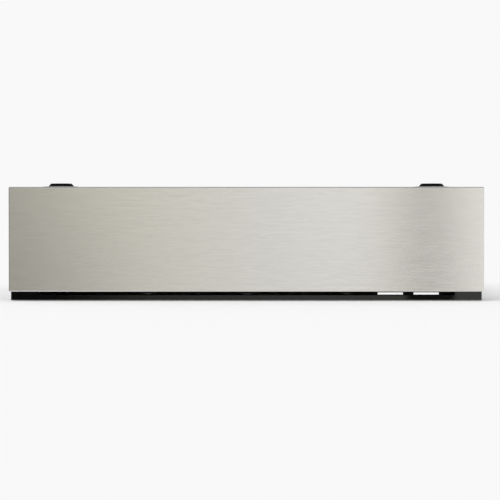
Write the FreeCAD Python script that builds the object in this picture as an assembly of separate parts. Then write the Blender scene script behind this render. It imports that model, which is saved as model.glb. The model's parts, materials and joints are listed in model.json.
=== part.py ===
"""Built-in warming drawer, 595 mm wide: a steel housing with a push-to-open drawer on runners.

Millimetres. X to the right, Y to the back, Z up; the origin is under the middle of the unit.
"""
import FreeCAD, Part
import math
import os

V = FreeCAD.Vector
X, Y, Z = V(1, 0, 0), V(0, 1, 0), V(0, 0, 1)

# ---- driving dimensions -------------------------------------------------------------------

UNIT_DEPTH = 550.0            # face of the drawer front to the nose of the cable gland
SHEET = 1.0                   # galvanised sheet of the housing
SNUG = 0.2                    # gap between pieces that are pushed into each other
SOFT_GAP = 0.3                # gap round an insulation pad
SCREW_FIT = 0.05              # radial gap of a screw in its thread

# drawer front
FRONT_OVERLAP = 19.5          # how far the front stands past the housing on each side
FRONT_HEIGHT = 131.0
FRONT_THICKNESS = 20.0
FRONT_LIFT = 12.3             # lower edge above the ground
SKIN_T = 1.0                  # stainless skin
SKIN_BEND = 1.5               # outer radius of its bends
INNER_PLATE_T = 2.0
CLOSING_GAP = 4.5             # inner plate to bottom trim, drawer closed
PRESS_TRAVEL = 3.0            # how far the front is pressed in to open it

# front frame, bottom trim and its air slot
FRAME_T = 1.2
FRAME_LIFT = 1.2
FRAME_RETURN = 6.0            # depth of the collar round the opening
OPENING_BOTTOM = 17.0
OPENING_TOP = 130.0
TRIM_T = 2.0
TRIM_LIFT = 0.6
SLOT_END = 34.5               # solid trim left at each end of the slot
SLOT_BOTTOM = 6.7
SLOT_TOP = 12.5
CABINET_SCREW_R = 2.4
CABINET_SCREW_INSET = 10.0    # from the side of the frame
CABINET_SCREW_SPACING = 70.0  # lower hole to upper hole
CABINET_SCREW_Z = 40.0
BUFFER_R = 4.5
BUFFER_Z = (25.0, 125.0)

# status lights in the slot
LIGHT_LENGTH = 31.7
LIGHT_HEIGHT = 2.6
LIGHT_Z = 7.75
LIGHT_PITCH = 45.3
LIGHT_INSET = 58.45           # middle of the pair from the slot's right end
LIGHT_RECESS = 0.2            # behind the face of the trim
BOARD_T = 1.6
BOARD_MARGIN = 6.0

# housing
HOUSING_WIDTH = 556.0
HOUSING_TOP = 140.0
FOOT_HEIGHT = 5.0
FOOT_R = 12.0
FOOT_PEG_R = 3.0
FOOT_INSET = 43.0             # from the side of the housing
FOOT_END_INSET = 75.0         # from the face of the front, and from the gland's nose
FLANGE = 15.0                 # folded edges of the side panels
REAR_LIP = 12.0               # folded edges of the rear panel
COVER_LIP = 15.0
COVER_SCREW_R = 1.5
SMALL_HEAD_R = 3.1
SMALL_HEAD = 1.8              # height of a small pan head
BEAD_HEIGHT = 1.2             # stiffening beads pressed into the flat sheets
BEAD_WIDTH = 18.0
BEAD_END = 67.0               # bead to the edge of its sheet
COVER_BEAD_X = 110.0
BASE_BEAD_X = 130.0
LOUVRE_LENGTH = 34.0
LOUVRE_WIDTH = 4.4
LOUVRE_PITCH = 11.5
LOUVRE_ROWS = 44.0            # between the rear panel's two rows
SIDE_VENT_WIDTH = 3.4
SIDE_VENT_PITCH = 9.0
SIDE_VENT_INSET = 20.0        # from the rear panel
BASE_VENT_LENGTH = 18.0
BASE_VENT_WIDTH = 5.0
BASE_VENT_PITCH = 14.0
BASE_VENT_INSET = 16.0        # from the rear panel
LINER_UPSTAND = 7.0
LINER_REAR = 25.0             # from the rear panel
BOSS_INSET = 41.0             # from the side of the housing
BOSS_END_INSET = 60.0         # from the face of the front, and from the gland's nose
BOSS_ROUND = 1.2
BOSS_HEIGHT = 4.7
BOSS_TOP_R = 23.0
BOSS_SPREAD = 3.0             # how much wider the boss is at its foot
PAD_HEIGHT = 3.8
PAD_R = 16.5
PAD_TOP_R = 13.3
PAD_PEG_R = 4.0

# drawer body
SIDE_GAP = 39.0               # tub to side panel
TUB_T = 1.0
TUB_CORNER = 12.0
TUB_BASE_BEND = 4.0
TUB_RIM = 3.0
TUB_TOP_GAP = 1.8             # under the frame's collar
TUB_VENT_PITCH = 11.0
TUB_VENT_LENGTH = 28.0
TUB_VENT_WIDTH = 4.4
TUB_VENT_ROWS = 36.0          # between its two rows
GLASS_T = 4.0
GLASS_INSET = 6.0
MAT_T = 2.0
MAT_INSET = 5.0
CARRIER_T = 1.5
CARRIER_REACH = 64.0          # horizontal leg, from the runner inwards
CARRIER_LIFT = 4.3            # over the frame's collar
CARRIER_TAB = 18.0            # front tab, screwed to the inner plate

# ball runners, measured from the side panel inwards
RUNNER_LENGTH = 450.0
RUNNER_HEIGHT = 45.0
RUNNER_T = 1.2
RUNNER_RISE = 4.0             # over the underside of the tub
RUNNER_FRONT_GAP = 1.3        # behind the frame's collar
BALL_R = 1.7
BALL_GAP = 0.1                # on each side of a ball
MIDDLE_IN = 2.2               # middle rail's web from the side panel
INNER_OUT = 11.5              # inner rail's web from the side panel
FLANGE_TRIM = 2.2             # the outer rail's flanges stop this short of the inner rail
MIDDLE_DEPTH = 7.8
INNER_DEPTH = 8.1
OUTER_BALL_AT = 6.5
INNER_BALL_AT = 7.5
CAGE_T = 0.6
CAGE_WIDTH = 5.0
CAGE_LENGTH = 200.0
CAGE_START = 120.0            # from the front end of the runner
BALLS_PER_STRIP = 8
RUNNER_SCREW_R = 1.7
RUNNER_SCREWS_Y = (40.0, 225.0, 410.0)

# rear space: fan, heater, push latches
DUCT_GAP = 5.0                # tub to fan grille
DUCT_DEPTH = 32.0
DUCT_WIDTH = 300.0
DUCT_TOP_GAP = 4.0            # under the ceiling liner
MOTOR_LENGTH = 32.0
MOTOR_GAP = 4.0               # motor to rear panel
MOTOR_R = 26.0
MOTOR_FLANGE_R = 30.0
MOTOR_FLANGE_T = 5.0
SHAFT_R = 3.0
SHAFT_FIT = 0.05
FAN_R = 40.0
FAN_WIDTH = 18.0
FAN_BACK_GAP = 8.0            # fan disc to the duct's back wall
FAN_BLADES = 18
FAN_HUB_R = 8.0
INTAKE_PITCH = 7.0            # slots in the grille over the fan
INTAKE_WIDTH = 3.6
INTAKE_REACH = 1.7            # their length over their half chord of the fan
OUTLET_PITCH = 11.0           # slots beside the fan
OUTLET_WIDTH = 5.0
OUTLET_LENGTH = 74.0
OUTLET_INSET = 16.0           # from the side of the duct
HEATER_R = 47.0               # middle of the ring
HEATER_TUBE_R = 3.2
HEATER_LEG_X = 15.0
HEATER_LEG_R = 2.8
HEATER_LEG_OUT = 14.0         # legs and pins behind the duct
HEATER_PIN = 6.0
HEATER_PIN_R = 1.5
LATCH_INSET = 38.0            # from the side of the tub
LATCH_Z = 60.0
LATCH_BODY = 24.0
LATCH_SETBACK = 12.0          # latch body behind the tub
PLUNGER_R = 4.0
PLUNGER_FIT = 0.3
PLUNGER_LENGTH = 43.0
PLUNGER_TIP_GAP = 0.3

# controls in the right-hand gap
FASCIA_T = 1.5
FASCIA_SETBACK = 12.3         # face of the fascia behind the back of the frame
FASCIA_RETURN = 30.0
FASCIA_RUNNER_GAP = 3.0
FASCIA_TOP = 128.0
FASCIA_TUB_GAP = 2.0
KNOB_R = 12.0
KNOB_HEIGHT = 11.0
KNOB_FACE_GAP = 0.5
KNOB_RISE = 32.0              # knob axis over the lower edge of the fascia
STEM_R = 3.0
THERMOSTAT_SIZE = 24.0
THERMOSTAT_DEPTH = 26.0
BULB_R = 3.0
BULB_LENGTH = 60.0
CAPILLARY_R = 1.0
ROCKER_RISE = 10.5            # rocker axis over the lower edge of the fascia
ROCKER_R = 6.0
ROCKER_WIDTH = 13.0
ROCKER_TILT = 10.0            # degrees to each side
ROCKER_FIT = 0.4
BEZEL_RIM = 2.2
BEZEL_T = 1.6
SWITCH_DEPTH = 20.0

# wiring and rear entries
LOOM_R = 3.5
LEAD_R = 1.5
LOOM_WALL_GAP = 4.0
LOOM_TURN = 20.0              # length of its turning runs
LOOM_Z = 84.0
CLIP_WIDTH = 8.0
CLIP_T = 1.2
CLIP_NECK = 6.0
CLIP_FOOT = 16.0
LOOM_BEND = 30.0
LEAD_BEND = 12.0
LEAD_OUT = 50.0               # straight out of the terminal block, to the cut-out
LOW_LEAD_OUT = 40.0           # and to the motor
LEAD_TURN_X, LEAD_TURN_Z = 72.0, 48.0     # where the heater's lead turns inwards
LEG_LEAD_GAP = 12.0           # leads behind the ends of the heater's legs
BLOCK_LENGTH = 40.0
BLOCK_DEPTH = 22.0
BLOCK_HEIGHT = 18.0
ENTRY_INSET = 52.0            # terminal block and gland from the side panel
BLOCK_Z = 80.0
GLAND_Z = 112.0
GLAND_NOSE = 8.0              # stands behind the rear panel
GLAND_BORE_R = 4.5
GLAND_THREAD_R = 7.8
GLAND_TAIL = 9.0
CUTOUT_INSET = 40.0           # from the side of the duct
CUTOUT_Z, CUTOUT_R = 100.0, 8.0
CUTOUT_BODY, CUTOUT_NOSE = 9.0, 3.0
CAPILLARY_DROP = 10.0         # capillary under the top of the duct
CAPILLARY_BEND = 26.0         # run of each of its turns
CAPILLARY_RISE = 12.0         # straight out of the bulb and the thermostat

# ---- places worked out from them ----------------------------------------------------------

FRONT_Y = -UNIT_DEPTH / 2
FRONT_BACK_Y = FRONT_Y + FRONT_THICKNESS
TRIM_Y = FRONT_BACK_Y + CLOSING_GAP
FRAME_Y = TRIM_Y + TRIM_T
FRAME_BACK_Y = FRAME_Y + FRAME_T
COLLAR_Y = FRAME_BACK_Y + FRAME_RETURN
REAR_FACE_Y = UNIT_DEPTH / 2 - GLAND_NOSE
REAR_Y = REAR_FACE_Y - SHEET

HALF_HOUSING = HOUSING_WIDTH / 2
HALF_FRONT = HALF_HOUSING + FRONT_OVERLAP
FRONT_TOP = FRONT_LIFT + FRONT_HEIGHT
HALF_SLOT = HALF_FRONT - SLOT_END
LIGHT_PAIR_X = HALF_SLOT - LIGHT_INSET
WALL_X = HALF_HOUSING - SHEET                 # inner face of a side panel
BASE_TOP = FOOT_HEIGHT + SHEET
COVER_Z = HOUSING_TOP - SHEET
LINER_TOP = OPENING_TOP + SHEET
COLLAR_X = WALL_X - FRAME_T
COLLAR_BOTTOM = OPENING_BOTTOM + FRAME_T
COLLAR_TOP = OPENING_TOP - FRAME_T
CABINET_SCREW_X = HALF_FRONT - CABINET_SCREW_INSET
FOOT_X, FOOT_Y = HALF_HOUSING - FOOT_INSET, UNIT_DEPTH / 2 - FOOT_END_INSET
BOSS_X, BOSS_Y = HALF_HOUSING - BOSS_INSET, UNIT_DEPTH / 2 - BOSS_END_INSET
BLOCK_X = GLAND_X = WALL_X - ENTRY_INSET
BLOCK_SIZE = V(BLOCK_LENGTH, BLOCK_DEPTH, BLOCK_HEIGHT)

MOTOR_REAR_Y = REAR_Y - MOTOR_GAP
DUCT_BACK_Y = MOTOR_REAR_Y - MOTOR_LENGTH
DUCT_Y = DUCT_BACK_Y - DUCT_DEPTH
TUB_REAR_Y = DUCT_Y - DUCT_GAP
DUCT_TOP = OPENING_TOP - DUCT_TOP_GAP
FAN_Z = (BASE_TOP + DUCT_TOP) / 2
FAN_BACK_Y = DUCT_BACK_Y - SHEET - FAN_BACK_GAP
HEATER_LEG_END = DUCT_BACK_Y + HEATER_LEG_OUT

TUB_X = WALL_X - SIDE_GAP
LATCH_X = TUB_X - LATCH_INSET
CUTOUT_X = DUCT_WIDTH / 2 - CUTOUT_INSET
TUB_BOTTOM = COLLAR_BOTTOM + CARRIER_LIFT + CARRIER_T
TUB_TOP = COLLAR_TOP - TUB_TOP_GAP
TUB_FLOOR = TUB_BOTTOM + TUB_T
RAIL_Y = COLLAR_Y + RUNNER_FRONT_GAP
RAIL_Z = TUB_BOTTOM + RUNNER_RISE
RAIL_TOP = RAIL_Z + RUNNER_HEIGHT
BALL_SPACE = 2 * (BALL_R + BALL_GAP)
CARRIER_X = WALL_X - INNER_OUT - RUNNER_T     # outer face of the carrier rail
LATCH_Y = TUB_REAR_Y + LATCH_SETBACK

FASCIA_X = TUB_X + TUB_RIM + FASCIA_TUB_GAP
FASCIA_Z = RAIL_TOP + FASCIA_RUNNER_GAP
FASCIA_Y = FRAME_BACK_Y + FASCIA_SETBACK
FASCIA_BACK_Y = FASCIA_Y + FASCIA_T
CONTROL_X = (FASCIA_X + WALL_X) / 2
KNOB_Z = FASCIA_Z + KNOB_RISE
ROCKER_Z = FASCIA_Z + ROCKER_RISE
SWITCH_BACK_Y = FASCIA_BACK_Y + SWITCH_DEPTH
THERMOSTAT_BACK_Y = FASCIA_BACK_Y + THERMOSTAT_DEPTH
LOOM_X = WALL_X - LOOM_WALL_GAP - LOOM_R


# ---- shape helpers ------------------------------------------------------------------------

def box(x0, x1, y0, y1, z0, z1):
    return Part.makeBox(x1 - x0, y1 - y0, z1 - z0, V(x0, y0, z0))


def wide_box(half_x, y0, y1, z0, z1):
    """A box centred on the unit's middle plane."""
    return box(-half_x, half_x, y0, y1, z0, z1)


def rod(radius, start, direction, length):
    return Part.makeCylinder(radius, length, start, direction)


def cone(r0, r1, start, direction, length):
    return Part.makeCone(r0, r1, length, start, direction)


def fused(first, *others):
    """The pieces of one solid, joined and cleaned of seams."""
    return first.fuse(list(others)).removeSplitter()


def cut(body, *tools):
    return body.cut(list(tools)) if tools else body


def mirrored(shape):
    """The left-hand copy of a right-hand piece."""
    return shape.mirror(V(0, 0, 0), X)


def both_sides(shape):
    return Part.makeCompound([shape, mirrored(shape)])


def edges_along(shape, direction):
    """The straight edges that run along one axis."""
    found = []
    for edge in shape.Edges:
        a, b = edge.firstVertex().Point, edge.lastVertex().Point
        if (b - a).Length > 1e-6 and (b - a).cross(direction).Length < 1e-6:
            found.append(edge)
    return found


def edges_on(shape, axis, value):
    """The edges that lie wholly in the plane axis = value."""
    return [e for e in shape.Edges
            if all(abs(getattr(v.Point, axis) - value) < 1e-6 for v in e.Vertexes)]


def round_edges(shape, direction, radius):
    return shape.makeFillet(radius, edges_along(shape, direction))


def stadium(centre, along, through, length, width, depth):
    """A round-ended cutter, length by width, that runs depth through its centre."""
    across = through.cross(along)
    half, r = (length - width) / 2, width / 2
    start = centre - through * (depth / 2)
    a, b = start + along * half + across * r, start + along * half - across * r
    c, d = start - along * half - across * r, start - along * half + across * r
    edges = [Part.Arc(a, start + along * (half + r), b).toShape(),
             Part.LineSegment(b, c).toShape(),
             Part.Arc(c, start - along * (half + r), d).toShape(),
             Part.LineSegment(d, a).toShape()]
    return Part.Face(Part.Wire(edges)).extrude(through * depth)


def hexagon(flat_r, start, direction, length):
    """A hexagonal bar, flat_r from its axis to a flat."""
    side = direction.cross(X)
    if side.Length < 0.5:
        side = direction.cross(Z)
    side.normalize()
    up = direction.cross(side)
    corner = flat_r / math.cos(math.pi / 6)
    points = []
    for k in range(7):
        turn = k * math.pi / 3
        points.append(start + side * (corner * math.cos(turn)) + up * (corner * math.sin(turn)))
    return Part.Face(Part.makePolygon(points)).extrude(direction * length)


def pan_screw(seat, direction, head_r, head_h, shank_r, length):
    """Head on the face at seat, shank going in along direction, hexagon socket in the head."""
    rim = head_h * 0.55
    head = rod(head_r, seat - direction * rim, direction, rim)
    crown = cone(head_r * 0.72, head_r, seat - direction * head_h, direction, head_h - rim)
    shank = rod(shank_r, seat, direction, length)
    socket = hexagon(head_r * 0.36, seat - direction * (head_h + 0.1), direction, head_h * 0.6)
    return cut(fused(head, crown, shank), socket)


def lead(points, radius, bend):
    """A round lead along straight runs joined by tangent arcs."""
    edges, here = [], points[0]
    for before, corner, after in zip(points, points[1:], points[2:]):
        into, out = corner - before, after - corner
        turn = into.getAngle(out)
        room = 0.45 * min(into.Length, out.Length)
        reach = min(room, bend * math.tan(turn / 2))
        into.normalize()
        out.normalize()
        start, end = corner - into * reach, corner + out * reach
        inward = out - into
        inward.normalize()
        arc_r = reach / math.tan(turn / 2)
        middle = corner + inward * (arc_r / math.cos(turn / 2) - arc_r)
        edges.append(Part.LineSegment(here, start).toShape())
        edges.append(Part.Arc(start, middle, end).toShape())
        here = end
    edges.append(Part.LineSegment(here, points[-1]).toShape())
    first = points[1] - points[0]
    ring = Part.Wire(Part.makeCircle(radius, points[0], first))
    return Part.Wire(edges).makePipeShell([ring], True, True)


NODES = {}


def node(name, shape):
    NODES[name] = shape


# ---- housing ------------------------------------------------------------------------------

def side_flange_screws():
    """Where screws go through the flanges of the right side panel: top row, then rear row."""
    x = WALL_X - FLANGE / 2
    run = REAR_Y - FRAME_BACK_Y
    top = [V(x, FRAME_BACK_Y + run * share, HOUSING_TOP) for share in (0.12, 0.48, 0.9)]
    rear = [V(x, REAR_FACE_Y, COVER_Z * share) for share in (0.2, 0.78)]
    return top, rear


def cabinet_screw_places():
    return [V(side * CABINET_SCREW_X, FRAME_Y, z)
            for side in (-1, 1)
            for z in (CABINET_SCREW_Z, CABINET_SCREW_Z + CABINET_SCREW_SPACING)]


def runner_screw_places():
    """On the side panel's inner face, along the middle of the runner."""
    z = RAIL_Z + RUNNER_HEIGHT / 2
    return [V(WALL_X, RAIL_Y + y, z) for y in RUNNER_SCREWS_Y]


def side_panel():
    bottom = FOOT_HEIGHT - SHEET
    inward = WALL_X - FLANGE
    panel = fused(box(WALL_X, HALF_HOUSING, FRAME_BACK_Y, REAR_Y, bottom, COVER_Z),
                  box(inward, HALF_HOUSING, FRAME_BACK_Y, REAR_Y, bottom, FOOT_HEIGHT),
                  box(inward, HALF_HOUSING, FRAME_BACK_Y, REAR_Y, COVER_Z - SHEET, COVER_Z),
                  box(inward, HALF_HOUSING, REAR_Y - SHEET, REAR_Y, bottom, COVER_Z))
    top, rear = side_flange_screws()
    tools = [rod(COVER_SCREW_R + SCREW_FIT, p - Z * 8, Z, 9) for p in top]
    tools += [rod(COVER_SCREW_R + SCREW_FIT, p - Y * 8, Y, 9) for p in rear]
    tools += [rod(RUNNER_SCREW_R + SCREW_FIT, p - X, X, SHEET + 2) for p in runner_screw_places()]
    for k in range(6):
        centre = V(HALF_HOUSING, REAR_Y - SIDE_VENT_INSET - k * SIDE_VENT_PITCH, COVER_Z * 0.75)
        tools.append(stadium(centre, Z, X, LOUVRE_LENGTH, SIDE_VENT_WIDTH, 8 * SHEET))
    return cut(panel, *tools)


def bead(x, z, y0, y1):
    """A raised stiffening bead on a flat sheet that runs from y0 to y1."""
    ridge = stadium(V(x, (y0 + y1) / 2, z + BEAD_HEIGHT / 2), Y, Z, y1 - y0 - 2 * BEAD_END,
                    BEAD_WIDTH, BEAD_HEIGHT)
    return ridge.makeFillet(BEAD_HEIGHT * 0.8, edges_on(ridge, "z", z + BEAD_HEIGHT))


def base_panel():
    plate = wide_box(WALL_X, FRAME_BACK_Y, REAR_Y - SHEET, FOOT_HEIGHT, BASE_TOP)
    beads = [bead(x, BASE_TOP, FRAME_BACK_Y, DUCT_Y) for x in (-BASE_BEAD_X, 0, BASE_BEAD_X)]
    plate = fused(plate, *beads)
    tools = [rod(FOOT_PEG_R + SNUG, V(x, y, 0), Z, BASE_TOP + 1)
             for x in (-FOOT_X, FOOT_X) for y in (-FOOT_Y, FOOT_Y)]
    for k in range(-6, 7):
        centre = V(k * BASE_VENT_PITCH, REAR_Y - BASE_VENT_INSET, FOOT_HEIGHT)
        tools.append(stadium(centre, Y, Z, BASE_VENT_LENGTH, BASE_VENT_WIDTH, 4 * SHEET))
    return cut(plate, *tools)


def base_feet():
    feet = []
    for x in (-FOOT_X, FOOT_X):
        for y in (-FOOT_Y, FOOT_Y):
            sole = cone(FOOT_R - 1.5, FOOT_R, V(x, y, 0), Z, FOOT_HEIGHT * 0.3)
            body = rod(FOOT_R, V(x, y, FOOT_HEIGHT * 0.3), Z, FOOT_HEIGHT * 0.7)
            peg = rod(FOOT_PEG_R, V(x, y, FOOT_HEIGHT), Z, SHEET + 1.2)
            barb = cone(FOOT_PEG_R + 1.1, FOOT_PEG_R - 1, V(x, y, BASE_TOP + SNUG), Z, 3.2)
            feet.append(fused(sole, body, peg, barb))
    return Part.makeCompound(feet)


def rear_panel():
    inward = WALL_X - FLANGE - SHEET
    lip_y = REAR_FACE_Y - REAR_LIP
    panel = fused(wide_box(HALF_HOUSING, REAR_Y, REAR_FACE_Y, FOOT_HEIGHT - SHEET, COVER_Z),
                  wide_box(inward, lip_y, REAR_FACE_Y, BASE_TOP, BASE_TOP + SHEET),
                  wide_box(inward, lip_y, REAR_FACE_Y, COVER_Z - SHEET, COVER_Z))
    tools = [rod(GLAND_THREAD_R + SNUG, V(GLAND_X, REAR_Y - 1, GLAND_Z), Y, SHEET + 2)]
    for p in side_flange_screws()[1]:
        for side in (-1, 1):
            tools.append(rod(COVER_SCREW_R + SNUG, V(side * p.x, REAR_Y - 1, p.z), Y, SHEET + 2))
    for row in range(2):
        for k in range(-9, 10):
            centre = V(k * LOUVRE_PITCH, REAR_Y, FAN_Z + (row - 0.5) * LOUVRE_ROWS)
            tools.append(stadium(centre, Z, Y, LOUVRE_LENGTH, LOUVRE_WIDTH, 6 * SHEET))
    return cut(panel, *tools)


def boss_places():
    return [V(x, y, HOUSING_TOP) for y in (-BOSS_Y, BOSS_Y) for x in (-BOSS_X, BOSS_X)]


def top_cover():
    half, front, rear = HALF_HOUSING + SHEET, FRAME_BACK_Y, REAR_FACE_Y + SHEET
    lip_z = HOUSING_TOP - COVER_LIP
    lips = [box(HALF_HOUSING, half, front, rear, lip_z, HOUSING_TOP),
            box(-half, -HALF_HOUSING, front, rear, lip_z, HOUSING_TOP),
            wide_box(half, REAR_FACE_Y, rear, lip_z, HOUSING_TOP)]
    bosses, hollows = [], []
    for p in boss_places():
        boss = cone(BOSS_TOP_R + BOSS_SPREAD, BOSS_TOP_R, p, Z, BOSS_HEIGHT)
        bosses.append(boss.makeFillet(BOSS_ROUND, edges_on(boss, "z", p.z + BOSS_HEIGHT)))
        hollows.append(cone(BOSS_TOP_R + BOSS_SPREAD, BOSS_TOP_R - SHEET * 0.5,
                            p - Z * (SHEET + 0.5), Z, BOSS_HEIGHT + 0.5))
        hollows.append(rod(PAD_PEG_R + SNUG, p, Z, BOSS_HEIGHT + 1))
    bosses += [bead(x, HOUSING_TOP, front, rear) for x in (-COVER_BEAD_X, COVER_BEAD_X)]
    cover = fused(wide_box(half, front, rear, COVER_Z, HOUSING_TOP), *lips, *bosses)
    for p in side_flange_screws()[0]:
        for side in (-1, 1):
            hollows.append(rod(COVER_SCREW_R + SNUG, V(side * p.x, p.y, COVER_Z - 1), Z, 3))
    return cut(cover, *hollows)


def support_pad(place):
    """Rubber pad that carries the appliance standing above."""
    seat = place + Z * BOSS_HEIGHT
    body = cone(PAD_R, PAD_TOP_R, seat, Z, PAD_HEIGHT)
    body = body.makeFillet(0.7, edges_on(body, "z", seat.z + PAD_HEIGHT))
    peg = rod(PAD_PEG_R, seat - Z * (SHEET + 1.5), Z, SHEET + 1.5)
    barb = cone(PAD_PEG_R - 1, PAD_PEG_R + 1.2, seat - Z * (SHEET + 2.7), Z, 2.4)
    return fused(body, peg, barb)


def ceiling_liner():
    rear = REAR_Y - LINER_REAR
    up = LINER_TOP + LINER_UPSTAND
    return fused(wide_box(WALL_X, FRAME_BACK_Y, rear, OPENING_TOP, LINER_TOP),
                 box(WALL_X - SHEET, WALL_X, FRAME_BACK_Y, rear, OPENING_TOP, up),
                 box(-WALL_X, SHEET - WALL_X, FRAME_BACK_Y, rear, OPENING_TOP, up))


def ceiling_insulation():
    pad = wide_box(WALL_X - FLANGE - SHEET, FRAME_BACK_Y + SOFT_GAP, REAR_Y - LINER_REAR,
                   LINER_TOP, COVER_Z - SOFT_GAP)
    return round_edges(pad, Z, 6)


def side_screws():
    top, rear = side_flange_screws()
    screws = [pan_screw(p, -Z, SMALL_HEAD_R, SMALL_HEAD, COVER_SCREW_R, 6 * SHEET) for p in top]
    screws += [pan_screw(p, -Y, SMALL_HEAD_R, SMALL_HEAD, COVER_SCREW_R, 6 * SHEET) for p in rear]
    return Part.makeCompound(screws)


# ---- front frame, trim, lights and buffers -------------------------------------------------

def slot_cutter(y0, y1):
    return wide_box(HALF_SLOT, y0, y1, SLOT_BOTTOM, SLOT_TOP)


def front_frame():
    plate = wide_box(HALF_FRONT, FRAME_Y, FRAME_BACK_Y, FRAME_LIFT, HOUSING_TOP)
    collar = wide_box(WALL_X, FRAME_BACK_Y, COLLAR_Y, OPENING_BOTTOM, OPENING_TOP)
    opening = wide_box(COLLAR_X, FRAME_Y - 1, COLLAR_Y + 1, COLLAR_BOTTOM, COLLAR_TOP)
    tools = [opening, slot_cutter(FRAME_Y - 1, FRAME_BACK_Y + 1)]
    tools += [rod(CABINET_SCREW_R, p - Y, Y, FRAME_T + 2) for p in cabinet_screw_places()]
    return cut(fused(plate, collar), *tools)


def bottom_trim():
    bar = wide_box(HALF_FRONT, TRIM_Y, FRAME_Y, TRIM_LIFT, OPENING_BOTTOM)
    bar = bar.makeFillet(0.5, edges_on(bar, "y", TRIM_Y))
    return cut(bar, slot_cutter(TRIM_Y - 1, FRAME_Y + 1))


def light_bar(side):
    x = LIGHT_PAIR_X + side * LIGHT_PITCH / 2
    bar = box(x - LIGHT_LENGTH / 2, x + LIGHT_LENGTH / 2, TRIM_Y + LIGHT_RECESS, FRAME_BACK_Y,
              LIGHT_Z, LIGHT_Z + LIGHT_HEIGHT)
    return bar.makeFillet(0.4, edges_on(bar, "y", TRIM_Y + LIGHT_RECESS))


def light_board():
    half = (LIGHT_PITCH + LIGHT_LENGTH) / 2 + BOARD_MARGIN
    return box(LIGHT_PAIR_X - half, LIGHT_PAIR_X + half, FRAME_BACK_Y, FRAME_BACK_Y + BOARD_T,
               BASE_TOP + SNUG, OPENING_BOTTOM - SNUG)


def stop_buffers():
    thickness = CLOSING_GAP + TRIM_T - PRESS_TRAVEL - SOFT_GAP
    buffers = []
    for z in BUFFER_Z:
        button = rod(BUFFER_R, V(CABINET_SCREW_X, FRAME_Y - thickness, z), Y, thickness)
        buffers.append(button.makeFillet(0.6, edges_on(button, "y", FRAME_Y - thickness)))
    return both_sides(Part.makeCompound(buffers))


# ---- drawer --------------------------------------------------------------------------------

def pan(half_x, y0, y1, z0, z1, radius):
    """A block with its front and corner edges rounded, open-backed shells are cut from it."""
    block = wide_box(half_x, y0, y1, z0, z1)
    edges = edges_on(block, "y", y0) + edges_along(block, Y)
    return block.makeFillet(radius, edges)


def front_skin():
    outer = pan(HALF_FRONT, FRONT_Y, FRONT_BACK_Y, FRONT_LIFT, FRONT_TOP, SKIN_BEND)
    inner = pan(HALF_FRONT - SKIN_T, FRONT_Y + SKIN_T, FRONT_BACK_Y + 1, FRONT_LIFT + SKIN_T,
                FRONT_TOP - SKIN_T, SKIN_BEND * 0.4)
    return cut(outer, inner)


def tub_screw_places():
    z = (TUB_FLOOR + GLASS_T + MAT_T, TUB_TOP)
    heights = (z[0] + (z[1] - z[0]) * 0.2, z[0] + (z[1] - z[0]) * 0.8)
    return [V(TUB_X * share, FRONT_BACK_Y + TUB_T, h) for share in (0.42, 0.84) for h in heights]


def tab_screw_places():
    x = CARRIER_X - CARRIER_TAB / 2
    return [V(x, FRONT_BACK_Y + CARRIER_T, RAIL_Z + RUNNER_HEIGHT * s) for s in (0.2, 0.8)]


DRAWER_SCREW_R = 1.95


def front_inner_plate():
    side = SKIN_T + SNUG
    plate = wide_box(HALF_FRONT - side, FRONT_BACK_Y - INNER_PLATE_T, FRONT_BACK_Y,
                     FRONT_LIFT + side, FRONT_TOP - side)
    plate = round_edges(plate, Y, SKIN_BEND)
    tools = []
    for p in tub_screw_places() + tab_screw_places():
        for x in (-p.x, p.x):
            hole = V(x, FRONT_BACK_Y - INNER_PLATE_T - 1, p.z)
            tools.append(rod(DRAWER_SCREW_R + SCREW_FIT, hole, Y, INNER_PLATE_T + 2))
    return cut(plate, *tools)


def front_insulation():
    side = SKIN_T + SKIN_BEND + SOFT_GAP
    pad = wide_box(HALF_FRONT - side, FRONT_Y + SKIN_T + SOFT_GAP,
                   FRONT_BACK_Y - INNER_PLATE_T - SOFT_GAP, FRONT_LIFT + side, FRONT_TOP - side)
    return round_edges(pad, Y, 4)


def tub_block(inset, top):
    """The tub's outer form, or its inside when inset by the wall."""
    block = wide_box(TUB_X - inset, FRONT_BACK_Y + inset, TUB_REAR_Y - inset,
                     TUB_BOTTOM + inset, top)
    block = round_edges(block, Z, TUB_CORNER - inset)
    return block.makeFillet(TUB_BASE_BEND - inset, edges_on(block, "z", TUB_BOTTOM + inset))


def floor_screw_places():
    x = TUB_X - 22
    run = TUB_REAR_Y - FRONT_BACK_Y
    return [V(x, FRONT_BACK_Y + run * share, TUB_BOTTOM - CARRIER_T) for share in (0.1, 0.5, 0.9)]


def tub_corners(depth):
    """Corners of the tub's box moved in by depth, with its open top left in place."""
    x, z = TUB_X - depth, TUB_BOTTOM + depth
    y0, y1 = FRONT_BACK_Y + depth, TUB_REAR_Y - depth
    return [V(side * x, y, height) for height in (z, TUB_TOP + 1)
            for side, y in ((-1, y0), (1, y0), (1, y1), (-1, y1))]


def seamed(shell):
    """The folded tray parted along its welded, mitred seams: a floor and four walls."""
    outer, inner = tub_corners(-TUB_RIM - 1), tub_corners(2 * TUB_CORNER)
    sections = []
    for wall in ((0, 1, 2, 3), (0, 1, 5, 4), (1, 2, 6, 5), (2, 3, 7, 6), (3, 0, 4, 7)):
        far, near = [outer[k] for k in wall], [inner[k] for k in wall]
        faces = [far, near] + [[far[k - 1], far[k], near[k], near[k - 1]] for k in range(4)]
        faces = [Part.Face(Part.makePolygon(points + points[:1])) for points in faces]
        sections.append(shell.common(Part.makeSolid(Part.makeShell(faces))))
    return Part.makeCompound(sections)


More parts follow.
